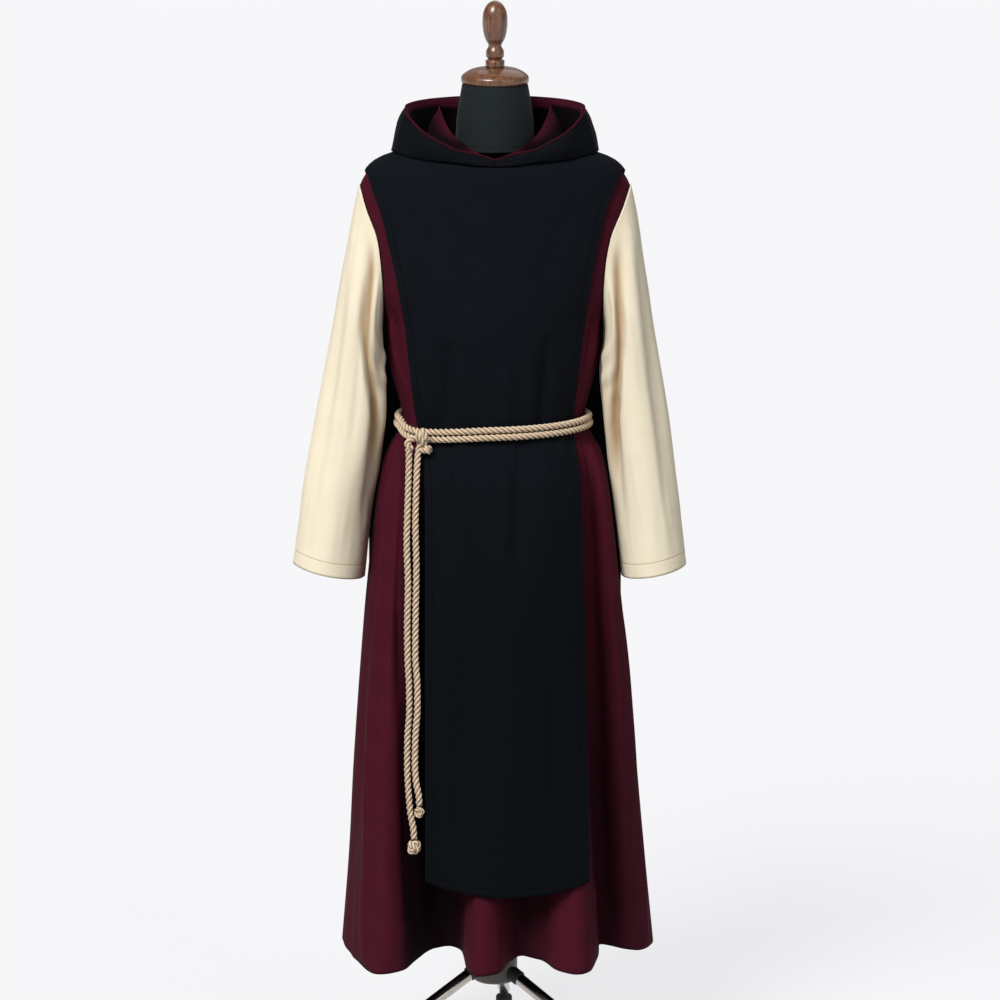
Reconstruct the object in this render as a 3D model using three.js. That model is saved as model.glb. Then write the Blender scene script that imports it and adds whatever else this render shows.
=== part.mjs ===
// Monk habit standing on a limbless dress form: burgundy tunic, cream sleeves, black scapular and
// cowl, and a twisted rope belt. Millimetres, +Z up, the front faces -Y, the origin is on the
// floor under the form's pole. Left and right are the wearer's: the wearer's left is +X.
import * as THREE from 'three';

// ---- driving dimensions ----
const wall = { tunic: 2, scapular: 2, hood: 2, lining: 1.5, sleeve: 2, collar: 1.5 };
const seamGap = 0.3;          // between two sewn pieces
const armholeGap = 2.4;       // from the tunic's outer side to the sleeve's head
const hemHeight = 225;        // lower edge of the tunic at its folds' crests
const waistHeight = 1174;     // middle of the belt
const ropeDiameter = 12;
const underarmHeight = 1350;
const shoulderPointHeight = 1588;

const colours = {
  burgundy: 0x4a1626, black: 0x14181c, cream: 0xf2e3bd, rope: 0xe3cda3,
  formCloth: 0x22282b, walnut: 0x6a3f25, chrome: 0xb8ac9e, hub: 0x4a4740, rubber: 0x1c1c1c,
};

const habit = new THREE.Group();

const addMesh = (name, geometry, colour, roughness = 0.9, metalness = 0) => {
  const material = new THREE.MeshStandardMaterial({ color: colour, roughness, metalness });
  const mesh = new THREE.Mesh(geometry, material);
  mesh.name = name;
  habit.add(mesh);
  return mesh;
};

// ---- reading the tables ----
// A table's rows run along one key column; the others are read between rows on a smooth curve
// that never overshoots a row.
const read = (table, key, name, at) => {
  const rising = table[table.length - 1][key] > table[0][key] ? 1 : -1;
  const last = table.length - 2;
  let i = 0;
  while (i < last && (at - table[i + 1][key]) * rising > 0) i += 1;
  const slope = (j) => {
    if (j < 0 || j > last) return 0;
    return (table[j + 1][name] - table[j][name]) / (table[j + 1][key] - table[j][key]);
  };
  const tangent = (j) => {
    if (j === 0) return slope(0);
    if (j === last + 1) return slope(last);
    const before = slope(j - 1);
    const after = slope(j);
    return before * after <= 0 ? 0 : (2 * before * after) / (before + after);
  };
  const step = table[i + 1][key] - table[i][key];
  const t = THREE.MathUtils.clamp((at - table[i][key]) / step, 0, 1);
  const start = table[i][name] * (1 + 2 * t) * (1 - t) ** 2 + tangent(i) * step * t * (1 - t) ** 2;
  const end = table[i + 1][name] * (3 - 2 * t) * t * t - tangent(i + 1) * step * t * t * (1 - t);
  return start + end;
};

const readPoint = (table, key, at) =>
  new THREE.Vector3(...['x', 'y', 'z'].map((name) => read(table, key, name, at)));

const range = (from, to, count) =>
  Array.from({ length: count + 1 }, (_, i) => from + ((to - from) * i) / count);

// ---- solids ----
const solidFrom = (points, faces) => {
  const geometry = new THREE.BufferGeometry();
  geometry.setAttribute('position', new THREE.Float32BufferAttribute(points.flatMap((p) => p.toArray()), 3));
  geometry.setIndex(faces);
  geometry.computeVertexNormals();
  return geometry;
};

// A wall of cloth: surface(u, v) gives its outer side, and the inner side lies one thickness
// behind it. Seen from outside, u runs to the right and v runs up. A tube is closed in u.
const clothWall = (surface, us, vs, thickness, tube = false) => {
  const columns = us.length;
  const rows = vs.length;
  const tiny = 1e-3;
  const outer = [];
  const inner = [];
  const derivative = (f, at, low, high) => {
    const a = Math.max(low, at - tiny);
    const b = Math.min(high, at + tiny);
    return f(b).sub(f(a));
  };
  const [uLow, uHigh] = tube ? [-Infinity, Infinity] : [us[0], us[columns - 1]];
  vs.forEach((v) => us.forEach((u) => {
    const point = surface(u, v);
    const alongU = derivative((at) => surface(at, v), u, uLow, uHigh);
    const alongV = derivative((at) => surface(u, at), v, vs[0], vs[rows - 1]);
    const normal = alongU.cross(alongV).normalize();
    outer.push(point);
    inner.push(point.clone().addScaledVector(normal, -thickness));
  }));
  const size = columns * rows;
  const faces = [];
  const quad = (a, b, c, d) => faces.push(a, b, c, a, c, d);
  const at = (i, j) => (i % columns) + j * columns;
  const spans = tube ? columns : columns - 1;
  for (let j = 0; j < rows - 1; j += 1) {
    for (let i = 0; i < spans; i += 1) {
      quad(at(i, j), at(i + 1, j), at(i + 1, j + 1), at(i, j + 1));
      quad(size + at(i, j), size + at(i, j + 1), size + at(i + 1, j + 1), size + at(i + 1, j));
    }
  }
  for (let i = 0; i < spans; i += 1) {
    quad(at(i + 1, 0), at(i, 0), size + at(i, 0), size + at(i + 1, 0));
    quad(at(i, rows - 1), at(i + 1, rows - 1), size + at(i + 1, rows - 1), size + at(i, rows - 1));
  }
  if (!tube) {
    for (let j = 0; j < rows - 1; j += 1) {
      const right = columns - 1;
      quad(at(0, j), at(0, j + 1), size + at(0, j + 1), size + at(0, j));
      quad(at(right, j + 1), at(right, j), size + at(right, j), size + at(right, j + 1));
    }
  }
  return solidFrom([...outer, ...inner], faces);
};

// A solid through closed rings that rise, with its two ends closed.
const loft = (rings) => {
  const columns = rings[0].length;
  const points = rings.flat();
  const faces = [];
  for (let j = 0; j < rings.length - 1; j += 1) {
    for (let i = 0; i < columns; i += 1) {
      const a = j * columns + i;
      const b = j * columns + ((i + 1) % columns);
      faces.push(a, b, b + columns, a, b + columns, a + columns);
    }
  }
  [0, rings.length - 1].forEach((j) => {
    const middle = rings[j].reduce((sum, p) => sum.add(p), new THREE.Vector3());
    points.push(middle.divideScalar(columns));
    const hub = points.length - 1;
    for (let i = 0; i < columns; i += 1) {
      const a = j * columns + i;
      const b = j * columns + ((i + 1) % columns);
      faces.push(...(j === 0 ? [hub, b, a] : [hub, a, b]));
    }
  });
  return solidFrom(points, faces);
};

// A turned solid: [radius, height] pairs from the axis, up, and back to the axis.
const turned = (profile, segments) => {
  const points = profile.map(([radius, height]) => new THREE.Vector2(radius, height));
  return new THREE.LatheGeometry(points, segments).rotateX(Math.PI / 2);
};

// A round bar or rope along a curve through points.
const rod = (points, radius, steps, sides) => {
  const section = new THREE.Shape(range(0, 2 * Math.PI, sides).slice(0, sides)
    .map((turn) => new THREE.Vector2(radius * Math.cos(turn), radius * Math.sin(turn))));
  const extrudePath = new THREE.CatmullRomCurve3(points.map((p) => new THREE.Vector3(...p)));
  return new THREE.ExtrudeGeometry(section, { steps, extrudePath, curveSegments: 1 });
};

// ---- the body that the tunic takes ----
// One row for each height: half width, depth to the front and to the back, sideways shift, and
// how much of the hem's folds is there (0 none, 1 all).
const bodyRows = [
  { height: 225, half: 279, front: 165, back: 180, shift: 4.5, fold: 1 },
  { height: 390, half: 264, front: 160, back: 172, shift: 3, fold: 0.87 },
  { height: 554, half: 252, front: 153, back: 162, shift: 0, fold: 0.74 },
  { height: 720, half: 239, front: 147, back: 152, shift: -1, fold: 0.61 },
  { height: 883, half: 223, front: 141, back: 142, shift: -3, fold: 0.48 },
  { height: 1000, half: 210, front: 137, back: 135, shift: -3, fold: 0.38 },
  { height: 1080, half: 199, front: 133, back: 128, shift: -2, fold: 0.28 },
  { height: 1120, half: 187, front: 126, back: 119, shift: -2, fold: 0.17 },
  { height: 1150, half: 168.5, front: 117, back: 107, shift: -3, fold: 0.06 },
  { height: 1174, half: 158.5, front: 112, back: 100, shift: -3, fold: 0.015 },
  { height: 1205, half: 164, front: 114, back: 102, shift: -3, fold: 0 },
  { height: 1255, half: 178, front: 118, back: 106, shift: -3, fold: 0 },
  { height: 1302, half: 186, front: 120, back: 109, shift: -3, fold: 0 },
  { height: 1350, half: 189, front: 122, back: 112, shift: -3, fold: 0 },
  { height: 1400, half: 211, front: 121, back: 115, shift: -3, fold: 0 },
  { height: 1450, half: 229, front: 118, back: 117, shift: -3, fold: 0 },
  { height: 1500, half: 238, front: 113, back: 116, shift: -2, fold: 0 },
  { height: 1550, half: 241, front: 107, back: 111, shift: -1, fold: 0 },
  { height: 1588, half: 234, front: 102, back: 105, shift: 0, fold: 0 },
  { height: 1612, half: 220, front: 100, back: 101, shift: 0, fold: 0 },
  { height: 1626, half: 205, front: 98.5, back: 98, shift: 0, fold: 0 },
  { height: 1638, half: 175, front: 96.5, back: 94, shift: 0, fold: 0 },
  { height: 1650, half: 124, front: 92, back: 88, shift: 0, fold: 0 },
  { height: 1660, half: 86, front: 84, back: 80, shift: 0, fold: 0 },
];

// Sideways reach of the panels at the armhole seam, from the underarm to the shoulder point.
const armholeRows = [
  { height: 1350, reach: 189 },
  { height: 1400, reach: 189 },
  { height: 1450, reach: 192 },
  { height: 1500, reach: 200 },
  { height: 1550, reach: 220 },
  { height: 1588, reach: 234 },
];

// The hem's folds from the wearer's right side seam round the front to the left one, and on
// round the back: turn is the place on the waist in degrees, x and y the place on the hem, and
// rise is how far the hem lifts in a hollow.
const hemFolds = [
  { turn: -90, x: -274, y: 0, rise: 0 },
  { turn: -78, x: -262, y: -90, rise: 0 },
  { turn: -66, x: -236, y: -172, rise: 0 },
  { turn: -56, x: -204, y: -220, rise: 0 },
  { turn: -48, x: -162, y: -203, rise: 2 },
  { turn: -41, x: -134, y: -160, rise: 8 },
  { turn: -33, x: -110, y: -108, rise: 14 },
  { turn: -26, x: -82, y: -98, rise: 15 },
  { turn: -20, x: -60, y: -118, rise: 12 },
  { turn: -15, x: -55, y: -180, rise: 3 },
  { turn: -9, x: -30, y: -233, rise: 0 },
  { turn: -2, x: 2, y: -218, rise: 1 },
  { turn: 5, x: 28, y: -172, rise: 7 },
  { turn: 12, x: 50, y: -150, rise: 12 },
  { turn: 19, x: 80, y: -164, rise: 9 },
  { turn: 26, x: 110, y: -202, rise: 3 },
  { turn: 34, x: 146, y: -222, rise: 0 },
  { turn: 40, x: 172, y: -204, rise: 2 },
  { turn: 45, x: 179, y: -150, rise: 7 },
  { turn: 51, x: 187, y: -92, rise: 15 },
  { turn: 58, x: 210, y: -95, rise: 12 },
  { turn: 68, x: 250, y: -104, rise: 8 },
  { turn: 79, x: 276, y: -62, rise: 3 },
  { turn: 90, x: 283, y: 0, rise: 0 },
  { turn: 101, x: 268, y: 76, rise: 3 },
  { turn: 112, x: 232, y: 134, rise: 2 },
  { turn: 120, x: 196, y: 120, rise: 10 },
  { turn: 128, x: 170, y: 152, rise: 8 },
  { turn: 137, x: 154, y: 212, rise: 0 },
  { turn: 146, x: 116, y: 236, rise: 0 },
  { turn: 154, x: 84, y: 202, rise: 5 },
  { turn: 161, x: 64, y: 156, rise: 12 },
  { turn: 168, x: 38, y: 154, rise: 13 },
  { turn: 175, x: 22, y: 204, rise: 4 },
  { turn: 182, x: -8, y: 240, rise: 0 },
  { turn: 189, x: -42, y: 220, rise: 2 },
  { turn: 196, x: -64, y: 168, rise: 10 },
  { turn: 203, x: -92, y: 152, rise: 13 },
  { turn: 211, x: -120, y: 188, rise: 6 },
  { turn: 219, x: -142, y: 230, rise: 0 },
  { turn: 228, x: -176, y: 222, rise: 0 },
  { turn: 236, x: -200, y: 166, rise: 8 },
  { turn: 244, x: -216, y: 120, rise: 12 },
  { turn: 253, x: -246, y: 108, rise: 7 },
  { turn: 262, x: -268, y: 56, rise: 3 },
  { turn: 270, x: -274, y: 0, rise: 0 },
];

const neckDip = 22;           // how far the neckline drops at the middle of the front
const radians = THREE.MathUtils.degToRad;

// A point of the body's plain oval at a height; turn 0 is the middle of the front.
const ovalPoint = (turn, height) => {
  const value = (name) => read(bodyRows, 'height', name, height);
  const angle = radians(turn);
  const depth = Math.cos(angle) > 0 ? value('front') : value('back');
  const dip = neckDip * Math.max(0, Math.cos(angle)) ** 3
    * THREE.MathUtils.smoothstep(height, 1590, 1660);
  return new THREE.Vector3(
    value('shift') + value('half') * Math.sin(angle),
    -depth * Math.cos(angle),
    height - dip,
  );
};

// The same point moved out from the oval, or in where the distance is negative.
const movedOut = (turn, height, distance) => {
  const low = Math.min(height, 1659);
  const around = ovalPoint(turn + 0.5, low).sub(ovalPoint(turn - 0.5, low));
  const upwards = ovalPoint(turn, low + 1).sub(ovalPoint(turn, low - 1));
  return ovalPoint(turn, height).addScaledVector(around.cross(upwards).normalize(), distance);
};

// Turn at which a panel ends at the armhole; 90 where there is a side or shoulder seam.
const armholeTurn = (height) => {
  if (height <= underarmHeight || height >= shoulderPointHeight) return 90;
  const reach = read(armholeRows, 'height', 'reach', height);
  const half = read(bodyRows, 'height', 'half', height);
  return THREE.MathUtils.radToDeg(Math.asin(Math.min(1, reach / half)));
};

// The tunic's outer side, folds and all.
const tunicPoint = (turn, height) => {
  const point = ovalPoint(turn, height);
  const fold = read(bodyRows, 'height', 'fold', height);
  const hemOval = ovalPoint(turn, hemHeight);
  point.x += fold * (read(hemFolds, 'turn', 'x', turn) - hemOval.x);
  point.y += fold * (read(hemFolds, 'turn', 'y', turn) - hemOval.y);
  const below = Math.max(0, (waistHeight - height) / (waistHeight - hemHeight));
  point.z += read(hemFolds, 'turn', 'rise', turn) * below;
  return point;
};

// ---- tunic ----
const armholeHeights = [1350, 1375, 1400, 1425, 1450, 1475, 1500, 1525, 1550, 1572, 1588];
const tunicHeights = [225, 390, 554, 720, 883, 1000, 1080, 1120, 1150, 1174, 1205, 1255, 1302,
  ...armholeHeights, 1612, 1626, 1638, 1650, 1660];
const seamTurn = 0.09;        // degrees that leave half a seam's gap at the sides

const addTunicPanel = (name, from, to) => {
  const middle = (from + to) / 2;
  const turns = hemFolds.map((row) => row.turn).filter((turn) => turn >= from && turn <= to);
  const surface = (turn, height) => {
    const share = (turn - middle) / 90;
    return tunicPoint(middle + share * (armholeTurn(height) - seamTurn), height);
  };
  addMesh(name, clothWall(surface, turns, tunicHeights, wall.tunic), colours.burgundy);
};

addTunicPanel('tunic_front', -90, 90);
addTunicPanel('tunic_back', 90, 270);

// The inner neck ring: it rises from the shoulders towards the neck, lowest at the front V.
const collarTop = [
  { turn: 0, x: 0, y: -85, z: 1644 },
  { turn: 12, x: 17, y: -83, z: 1648.5 },
  { turn: 26, x: 37, y: -75, z: 1658 },
  { turn: 37, x: 50, y: -66, z: 1666 },
  { turn: 60, x: 73, y: -41, z: 1681 },
  { turn: 84, x: 88, y: -6, z: 1701 },
  { turn: 97, x: 94, y: 16, z: 1713 },
  { turn: 112, x: 98, y: 42, z: 1719 },
  { turn: 135, x: 80, y: 67, z: 1719 },
  { turn: 180, x: 0, y: 84, z: 1717 },
];
// its foot: the height on the tunic that it stands over, and how far above the cloth it starts
const collarFoot = [
  { turn: 0, seat: 1659.5, lift: 0.8 },
  { turn: 12, seat: 1659, lift: 1.6 },
  { turn: 26, seat: 1657, lift: 3 },
  { turn: 48, seat: 1652.5, lift: 3.2 },
  { turn: 84, seat: 1651, lift: 3 },
  { turn: 135, seat: 1651, lift: 3.2 },
  { turn: 180, seat: 1650, lift: 4.6 },
];

const mirrored = (table, turn) => {
  const point = readPoint(table, 'turn', Math.abs(turn));
  point.x *= Math.sign(turn);
  return point;
};

const halfTurns = [0, 12, 26, 37, 48, 60, 72, 84, 97, 112, 124, 135, 157, 180];
const wholeTurns = [...halfTurns.slice(1).reverse().map((turn) => -turn), ...halfTurns];

const collarPoint = (turn, share) => {
  const around = turn * 0.998;
  const [seat, lift] = ['seat', 'lift'].map((name) => read(collarFoot, 'turn', name, Math.abs(turn)));
  const foot = ovalPoint(around, seat).add(new THREE.Vector3(0, 0, lift));
  return foot.lerp(mirrored(collarTop, around), share);
};
addMesh('tunic_collar', clothWall(collarPoint, wholeTurns, [0, 0.35, 0.7, 1], wall.collar),
  colours.burgundy);

// ---- sleeves ----
// One row for each ring from the armhole (0) to the cuff (1), for a sleeve on either side: the
// outer and the inner edge, and the depth to the front and to the back of their middle.
const sleeveRows = {
  right: [
    { share: 0, outerX: 235, outerZ: 1588, innerX: 194.5, innerZ: 1350, front: 63, back: 63 },
    { share: 0.1, outerX: 249, outerZ: 1527, innerX: 197, innerZ: 1318, front: 66, back: 64 },
    { share: 0.24, outerX: 268, outerZ: 1436, innerX: 191, innerZ: 1268, front: 67, back: 62 },
    { share: 0.42, outerX: 289, outerZ: 1308, innerX: 189.5, innerZ: 1196, front: 66, back: 60 },
    { share: 0.6, outerX: 310, outerZ: 1190, innerX: 199, innerZ: 1106, front: 67, back: 61 },
    { share: 0.8, outerX: 334, outerZ: 1060, innerX: 217, innerZ: 1006, front: 70, back: 64 },
    { share: 1, outerX: 356, outerZ: 919, innerX: 229, innerZ: 894, front: 74, back: 68 },
  ],
  left: [
    { share: 0, outerX: 235, outerZ: 1588, innerX: 187.5, innerZ: 1350, front: 63, back: 63 },
    { share: 0.1, outerX: 248, outerZ: 1530, innerX: 190.5, innerZ: 1318, front: 66, back: 64 },
    { share: 0.24, outerX: 262, outerZ: 1436, innerX: 184, innerZ: 1268, front: 67, back: 62 },
    { share: 0.42, outerX: 281, outerZ: 1312, innerX: 189, innerZ: 1196, front: 66, back: 60 },
    { share: 0.6, outerX: 301, outerZ: 1190, innerX: 198, innerZ: 1106, front: 67, back: 61 },
    { share: 0.8, outerX: 319, outerZ: 1056, innerX: 211, innerZ: 1006, front: 70, back: 64 },
    { share: 1, outerX: 337, outerZ: 917, innerX: 222, innerZ: 896, front: 74, back: 68 },
  ],
};

// The sleeve's long creases: where each runs round the sleeve (0 at the outer edge, 90 at the
// front) at the armhole, half way and at the cuff, how wide it is, and how deep.
const sleeveCreases = [
  { top: 66, middle: 118, cuff: 140, spread: 17, depth: 15 },
  { top: -50, middle: -96, cuff: -120, spread: 18, depth: 11 },
  { top: 20, middle: 40, cuff: 62, spread: 20, depth: 5 },
];

const armholePoint = (side, angle) => {
  const middle = (underarmHeight + shoulderPointHeight) / 2;
  const height = middle + (shoulderPointHeight - middle) * Math.cos(radians(angle));
  const turn = armholeTurn(height) - seamTurn;
  const point = ovalPoint(Math.sin(radians(angle)) >= 0 ? side * turn : side * (180 - turn), height);
  point.x += side * armholeGap;
  return point;
};

const wrapped = (angle) => THREE.MathUtils.euclideanModulo(angle + 180, 360) - 180;

const sleevePoint = (side, angle, share) => {
  const rows = side > 0 ? sleeveRows.left : sleeveRows.right;
  const value = (name) => read(rows, 'share', name, share);
  const ring = (at) => {
    const [ox, oz, ix, iz] = ['outerX', 'outerZ', 'innerX', 'innerZ'].map((n) => read(rows, 'share', n, at));
    const depth = Math.sin(radians(angle)) >= 0 ? value('front') : value('back');
    const crease = sleeveCreases.reduce((sum, row) => {
      const place = share < 0.5
        ? THREE.MathUtils.lerp(row.top, row.middle, share * 2)
        : THREE.MathUtils.lerp(row.middle, row.cuff, share * 2 - 1);
      const away = wrapped(angle - place) / row.spread;
      return sum + row.depth * Math.exp(-away * away);
    }, 0) * Math.sin(Math.PI * Math.min(1, share * 1.15 + 0.05));
    const shrink = 1 - crease / depth;
    const along = Math.cos(radians(angle)) * shrink;
    return new THREE.Vector3(
      side * ((ox + ix) / 2 + ((ox - ix) / 2) * along),
      -8 - depth * Math.sin(radians(angle)) * shrink,
      (oz + iz) / 2 + ((oz - iz) / 2) * along,
    );
  };
  const point = ring(share);
  const fade = 1 - THREE.MathUtils.smoothstep(share, 0, 0.3);
  return point.add(armholePoint(side, angle).sub(ring(0)).multiplyScalar(fade));
};

const armholeAngles = armholeHeights.map((height) => {
  const middle = (underarmHeight + shoulderPointHeight) / 2;
  return THREE.MathUtils.radToDeg(Math.acos((height - middle) / (shoulderPointHeight - middle)));
}).reverse();
const sleeveAngles = [...armholeAngles, ...armholeAngles.slice(1, -1).reverse().map((a) => 360 - a)];

const sleeveShares = [0, 0.05, 0.11, 0.18, 0.26, 0.35, 0.46, 0.58, 0.7, 0.8, 0.9, 1];
[['sleeve_left', 1], ['sleeve_right', -1]].forEach(([name, side]) => {
  const surface = (angle, share) => sleevePoint(side, angle, share);
  addMesh(name, clothWall(surface, sleeveAngles, sleeveShares, wall.sleeve, true),
    colours.cream);
});

// ---- scapular ----
// Side edges of the front panel (x) from its hem to the shoulder, where it follows the tunic.
const frontPanelRows = [
  { height: 388, right: -122, left: 166 },
  { height: 602, right: -122, left: 162 },
  { height: 950, right: -122, left: 154 },
  { height: 1087, right: -123, left: 149 },
  { height: 1130, right: -129, left: 142 },
  { height: 1174, right: -135, left: 137 },
  { height: 1224, right: -142, left: 142 },
  { height: 1292, right: -151, left: 149 },
  { height: 1351, right: -157, left: 156 },
  { height: 1404, right: -166, left: 163 },
  { height: 1452, right: -174, left: 170 },
  { height: 1497, right: -185, left: 178 },
  { height: 1544, right: -195, left: 188 },
  { height: 1576, right: -206, left: 199 },
  { height: 1600, right: -214, left: 210 },
  { height: 1612, right: -220, left: 220 },
];
const panelHemSag = 22;       // the panel's hem hangs this much lower in the middle
const foldCover = 76;         // reach of the hem's crests beyond the plain oval
const panelLift = 4.6;        // from the tunic's outer side to the panel's, down the front
const shoulderLift = 6.2;     // the same on the shoulders

// Columns of a panel stand closer together towards its edges, as they do on the shoulders.
const eased = (share) => Math.sin((share * Math.PI) / 2);

const frontPanelPoint = (share, height) => {
  const ends = 90 - seamTurn * 2;
  if (height >= 1612) return movedOut(share * ends, height, shoulderLift);
  const right = read(frontPanelRows, 'height', 'right', height);
  const left = read(frontPanelRows, 'height', 'left', height);
  const x = (left + right) / 2 + (eased(share) * (left - right)) / 2;
  const half = read(bodyRows, 'height', 'half', height);
  const shift = read(bodyRows, 'height', 'shift', height);
  const sine = THREE.MathUtils.clamp((x - shift) / half, -1, 1);
  const turn = THREE.MathUtils.radToDeg(Math.asin(sine));
  const onNormal = movedOut(turn, height, shoulderLift);
  const fold = read(bodyRows, 'height', 'fold', height);
  const forward = ovalPoint(turn, height);
  forward.y -= panelLift + fold * (foldCover + 8 * eased(share));
  forward.z -= panelHemSag * (1 - eased(share) ** 2) * (1 - THREE.MathUtils.smoothstep(height, 388, 620));
  return forward.lerp(onNormal, THREE.MathUtils.smoothstep(height, 1480, 1600));
};

const panelShares = range(-1, 1, 12);
const frontPanelHeights = [388, 490, 602, 720, 850, 950, 1040, 1087, 1130, 1155, 1174, 1200, 1240,
  1292, 1351, 1404, 1452, 1497, 1544, 1576, 1594, 1606, 1612, 1626, 1638, 1649];
addMesh('scapular_front', clothWall(frontPanelPoint, panelShares, frontPanelHeights, wall.scapular),
  colours.black);

// The back panel hangs free from the shoulders: half width, and how far back its middle and its
// edges hang.
const backPanelRows = [
  { height: 388, half: 228, middle: 234, edge: 206 },
  { height: 602, half: 227, middle: 211, edge: 182 },
  { height: 883, half: 226, middle: 182, edge: 152 },
  { height: 1080, half: 225, middle: 155, edge: 128 },
  { height: 1174, half: 224, middle: 138, edge: 112 },
  { height: 1292, half: 223, middle: 128, edge: 102 },
  { height: 1404, half: 222, middle: 126, edge: 94 },
  { height: 1497, half: 221, middle: 122, edge: 82 },
  { height: 1544, half: 221, middle: 117, edge: 68 },
  { height: 1576, half: 222, middle: 112, edge: 52 },
  { height: 1600, half: 221, middle: 106, edge: 32 },
  { height: 1612, half: 223, middle: 100, edge: 2 },
];

const backPanelPoint = (share, height) => {
  const ends = 90 - seamTurn * 2;
  if (height >= 1612) return movedOut(180 + share * ends, height, shoulderLift);
  const x = -eased(share) * read(backPanelRows, 'height', 'half', height);
  const shift = read(bodyRows, 'height', 'shift', height);
  const sine = THREE.MathUtils.clamp((x - shift) / read(bodyRows, 'height', 'half', height), -1, 1);
  const onBody = movedOut(180 - THREE.MathUtils.radToDeg(Math.asin(sine)), height, shoulderLift);
  const middle = read(backPanelRows, 'height', 'middle', height);
  const edge = read(backPanelRows, 'height', 'edge', height);
  const hanging = new THREE.Vector3(x, middle - (middle - edge) * Math.abs(eased(share)) ** 2.5, height);
  hanging.z -= panelHemSag * (1 - eased(share) ** 2) * (1 - THREE.MathUtils.smoothstep(height, 388, 620));
  return hanging.lerp(onBody, THREE.MathUtils.smoothstep(height, 1540, 1606));
};
const backPanelHeights = [388, 490, 602, 740, 883, 990, 1080, 1130, 1174, 1230, 1292, 1350, 1404, 1452,
  1497, 1544, 1576, 1594, 1606, 1612, 1626, 1638, 1649];
addMesh('scapular_back', clothWall(backPanelPoint, panelShares, backPanelHeights, wall.scapular),
  colours.black);

// ---- hood ----
// Three lines of the cowl for one half, from the middle of the front (0) to the middle of the
// back (180): the rim of its opening, its belly, and its lower edge.
const hoodRim = [
  { turn: 0, x: 0, y: -92, z: 1643 },
  { turn: 12, x: 26, y: -92, z: 1652 },
  { turn: 37, x: 66, y: -90, z: 1660 },
  { turn: 48, x: 93, y: -82, z: 1672 },
  { turn: 60, x: 121, y: -67, z: 1686 },
  { turn: 72, x: 142, y: -46, z: 1702 },
  { turn: 84, x: 155, y: -16, z: 1717 },
  { turn: 97, x: 155, y: 22, z: 1721 },
  { turn: 112, x: 136, y: 60, z: 1724 },
  { turn: 135, x: 96, y: 87, z: 1726 },
  { turn: 157, x: 52, y: 99, z: 1727 },
  { turn: 180, x: 0, y: 103, z: 1727 },
];
const hoodBelly = [
  { turn: 0, x: 0, y: -98, z: 1640 },
  { turn: 12, x: 28, y: -99, z: 1645 },
  { turn: 37, x: 72, y: -97, z: 1652 },
  { turn: 48, x: 103, y: -88, z: 1660 },
  { turn: 60, x: 131, y: -71, z: 1668 },
  { turn: 72, x: 153, y: -46, z: 1678 },
  { turn: 84, x: 167, y: -15, z: 1688 },
  { turn: 97, x: 169, y: 25, z: 1688 },
  { turn: 112, x: 155, y: 74, z: 1690 },
  { turn: 135, x: 118, y: 120, z: 1664 },
  { turn: 157, x: 64, y: 152, z: 1634 },
  { turn: 180, x: 0, y: 165, z: 1618 },
];
const hoodBase = [
  { turn: 0, x: 0, y: -101, z: 1633.8 },
  { turn: 12, x: 28, y: -100, z: 1634.8 },
  { turn: 37, x: 75, y: -92, z: 1639.8 },
  { turn: 48, x: 112, y: -79, z: 1640.8 },
  { turn: 60, x: 140, y: -62, z: 1643.4 },
  { turn: 72, x: 161, y: -39, z: 1645.2 },
  { turn: 84, x: 176, y: -13, z: 1646 },
  { turn: 97, x: 181, y: 24, z: 1645 },
  { turn: 112, x: 172, y: 80, z: 1624 },
  { turn: 135, x: 128, y: 120, z: 1550.8 },
  { turn: 157, x: 64, y: 133, z: 1476.8 },
  { turn: 180, x: 0, y: 139, z: 1448.8 },
];

// A point between three lines: 0 on the first, 1 on the last.
const across = (first, middle, last, share) => {
  const [a, b, c] = [(1 - share) * (1 - 2 * share), 4 * share * (1 - share), share * (2 * share - 1)];
  return first.multiplyScalar(a).addScaledVector(middle, b).addScaledVector(last, c);
};

const seamShare = 0.997;      // leaves the seam's gap at the middle of the front and the back
const hoodPoint = (turn, share) => across(
  mirrored(hoodBase, turn), mirrored(hoodBelly, turn), mirrored(hoodRim, turn), share);

const liningFoot = [
  { turn: 0, x: 0, y: -88, z: 1641 },
  { turn: 12, x: 22, y: -88, z: 1645 },
  { turn: 26, x: 43, y: -85, z: 1649 },
  { turn: 48, x: 85, y: -71, z: 1655 },
  { turn: 60, x: 108, y: -56, z: 1659 },
  { turn: 72, x: 125, y: -37, z: 1662 },
  { turn: 90, x: 136, y: 0, z: 1665 },
  { turn: 112, x: 124, y: 49, z: 1669 },
  { turn: 135, x: 89, y: 77, z: 1671 },
  { turn: 157, x: 48, y: 92, z: 1673 },
  { turn: 180, x: 0, y: 97, z: 1675 },
];
const liningInset = 2;        // from the cowl's outer side at the rim
const liningPoint = (turn, share) => {
  const rim = mirrored(hoodRim, turn);
  const inward = new THREE.Vector3(rim.x, rim.y, 0).setLength(liningInset);
  return mirrored(liningFoot, turn).lerp(rim.sub(inward), share);
};

const addHoodHalf = (side, name, surface, shares, thickness, colour) => {
  const turns = side > 0 ? halfTurns : halfTurns.map((turn) => -turn).reverse();
  const inHalf = (turn, share) => {
    const kept = 90 + (Math.abs(turn) - 90) * seamShare;
    const point = surface(side * kept, share);
    if (turn === 0 || Math.abs(turn) === 180) point.x = side * seamGap;
    return point;
  };
  addMesh(name, clothWall(inHalf, turns, shares, thickness), colour);
};

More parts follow.
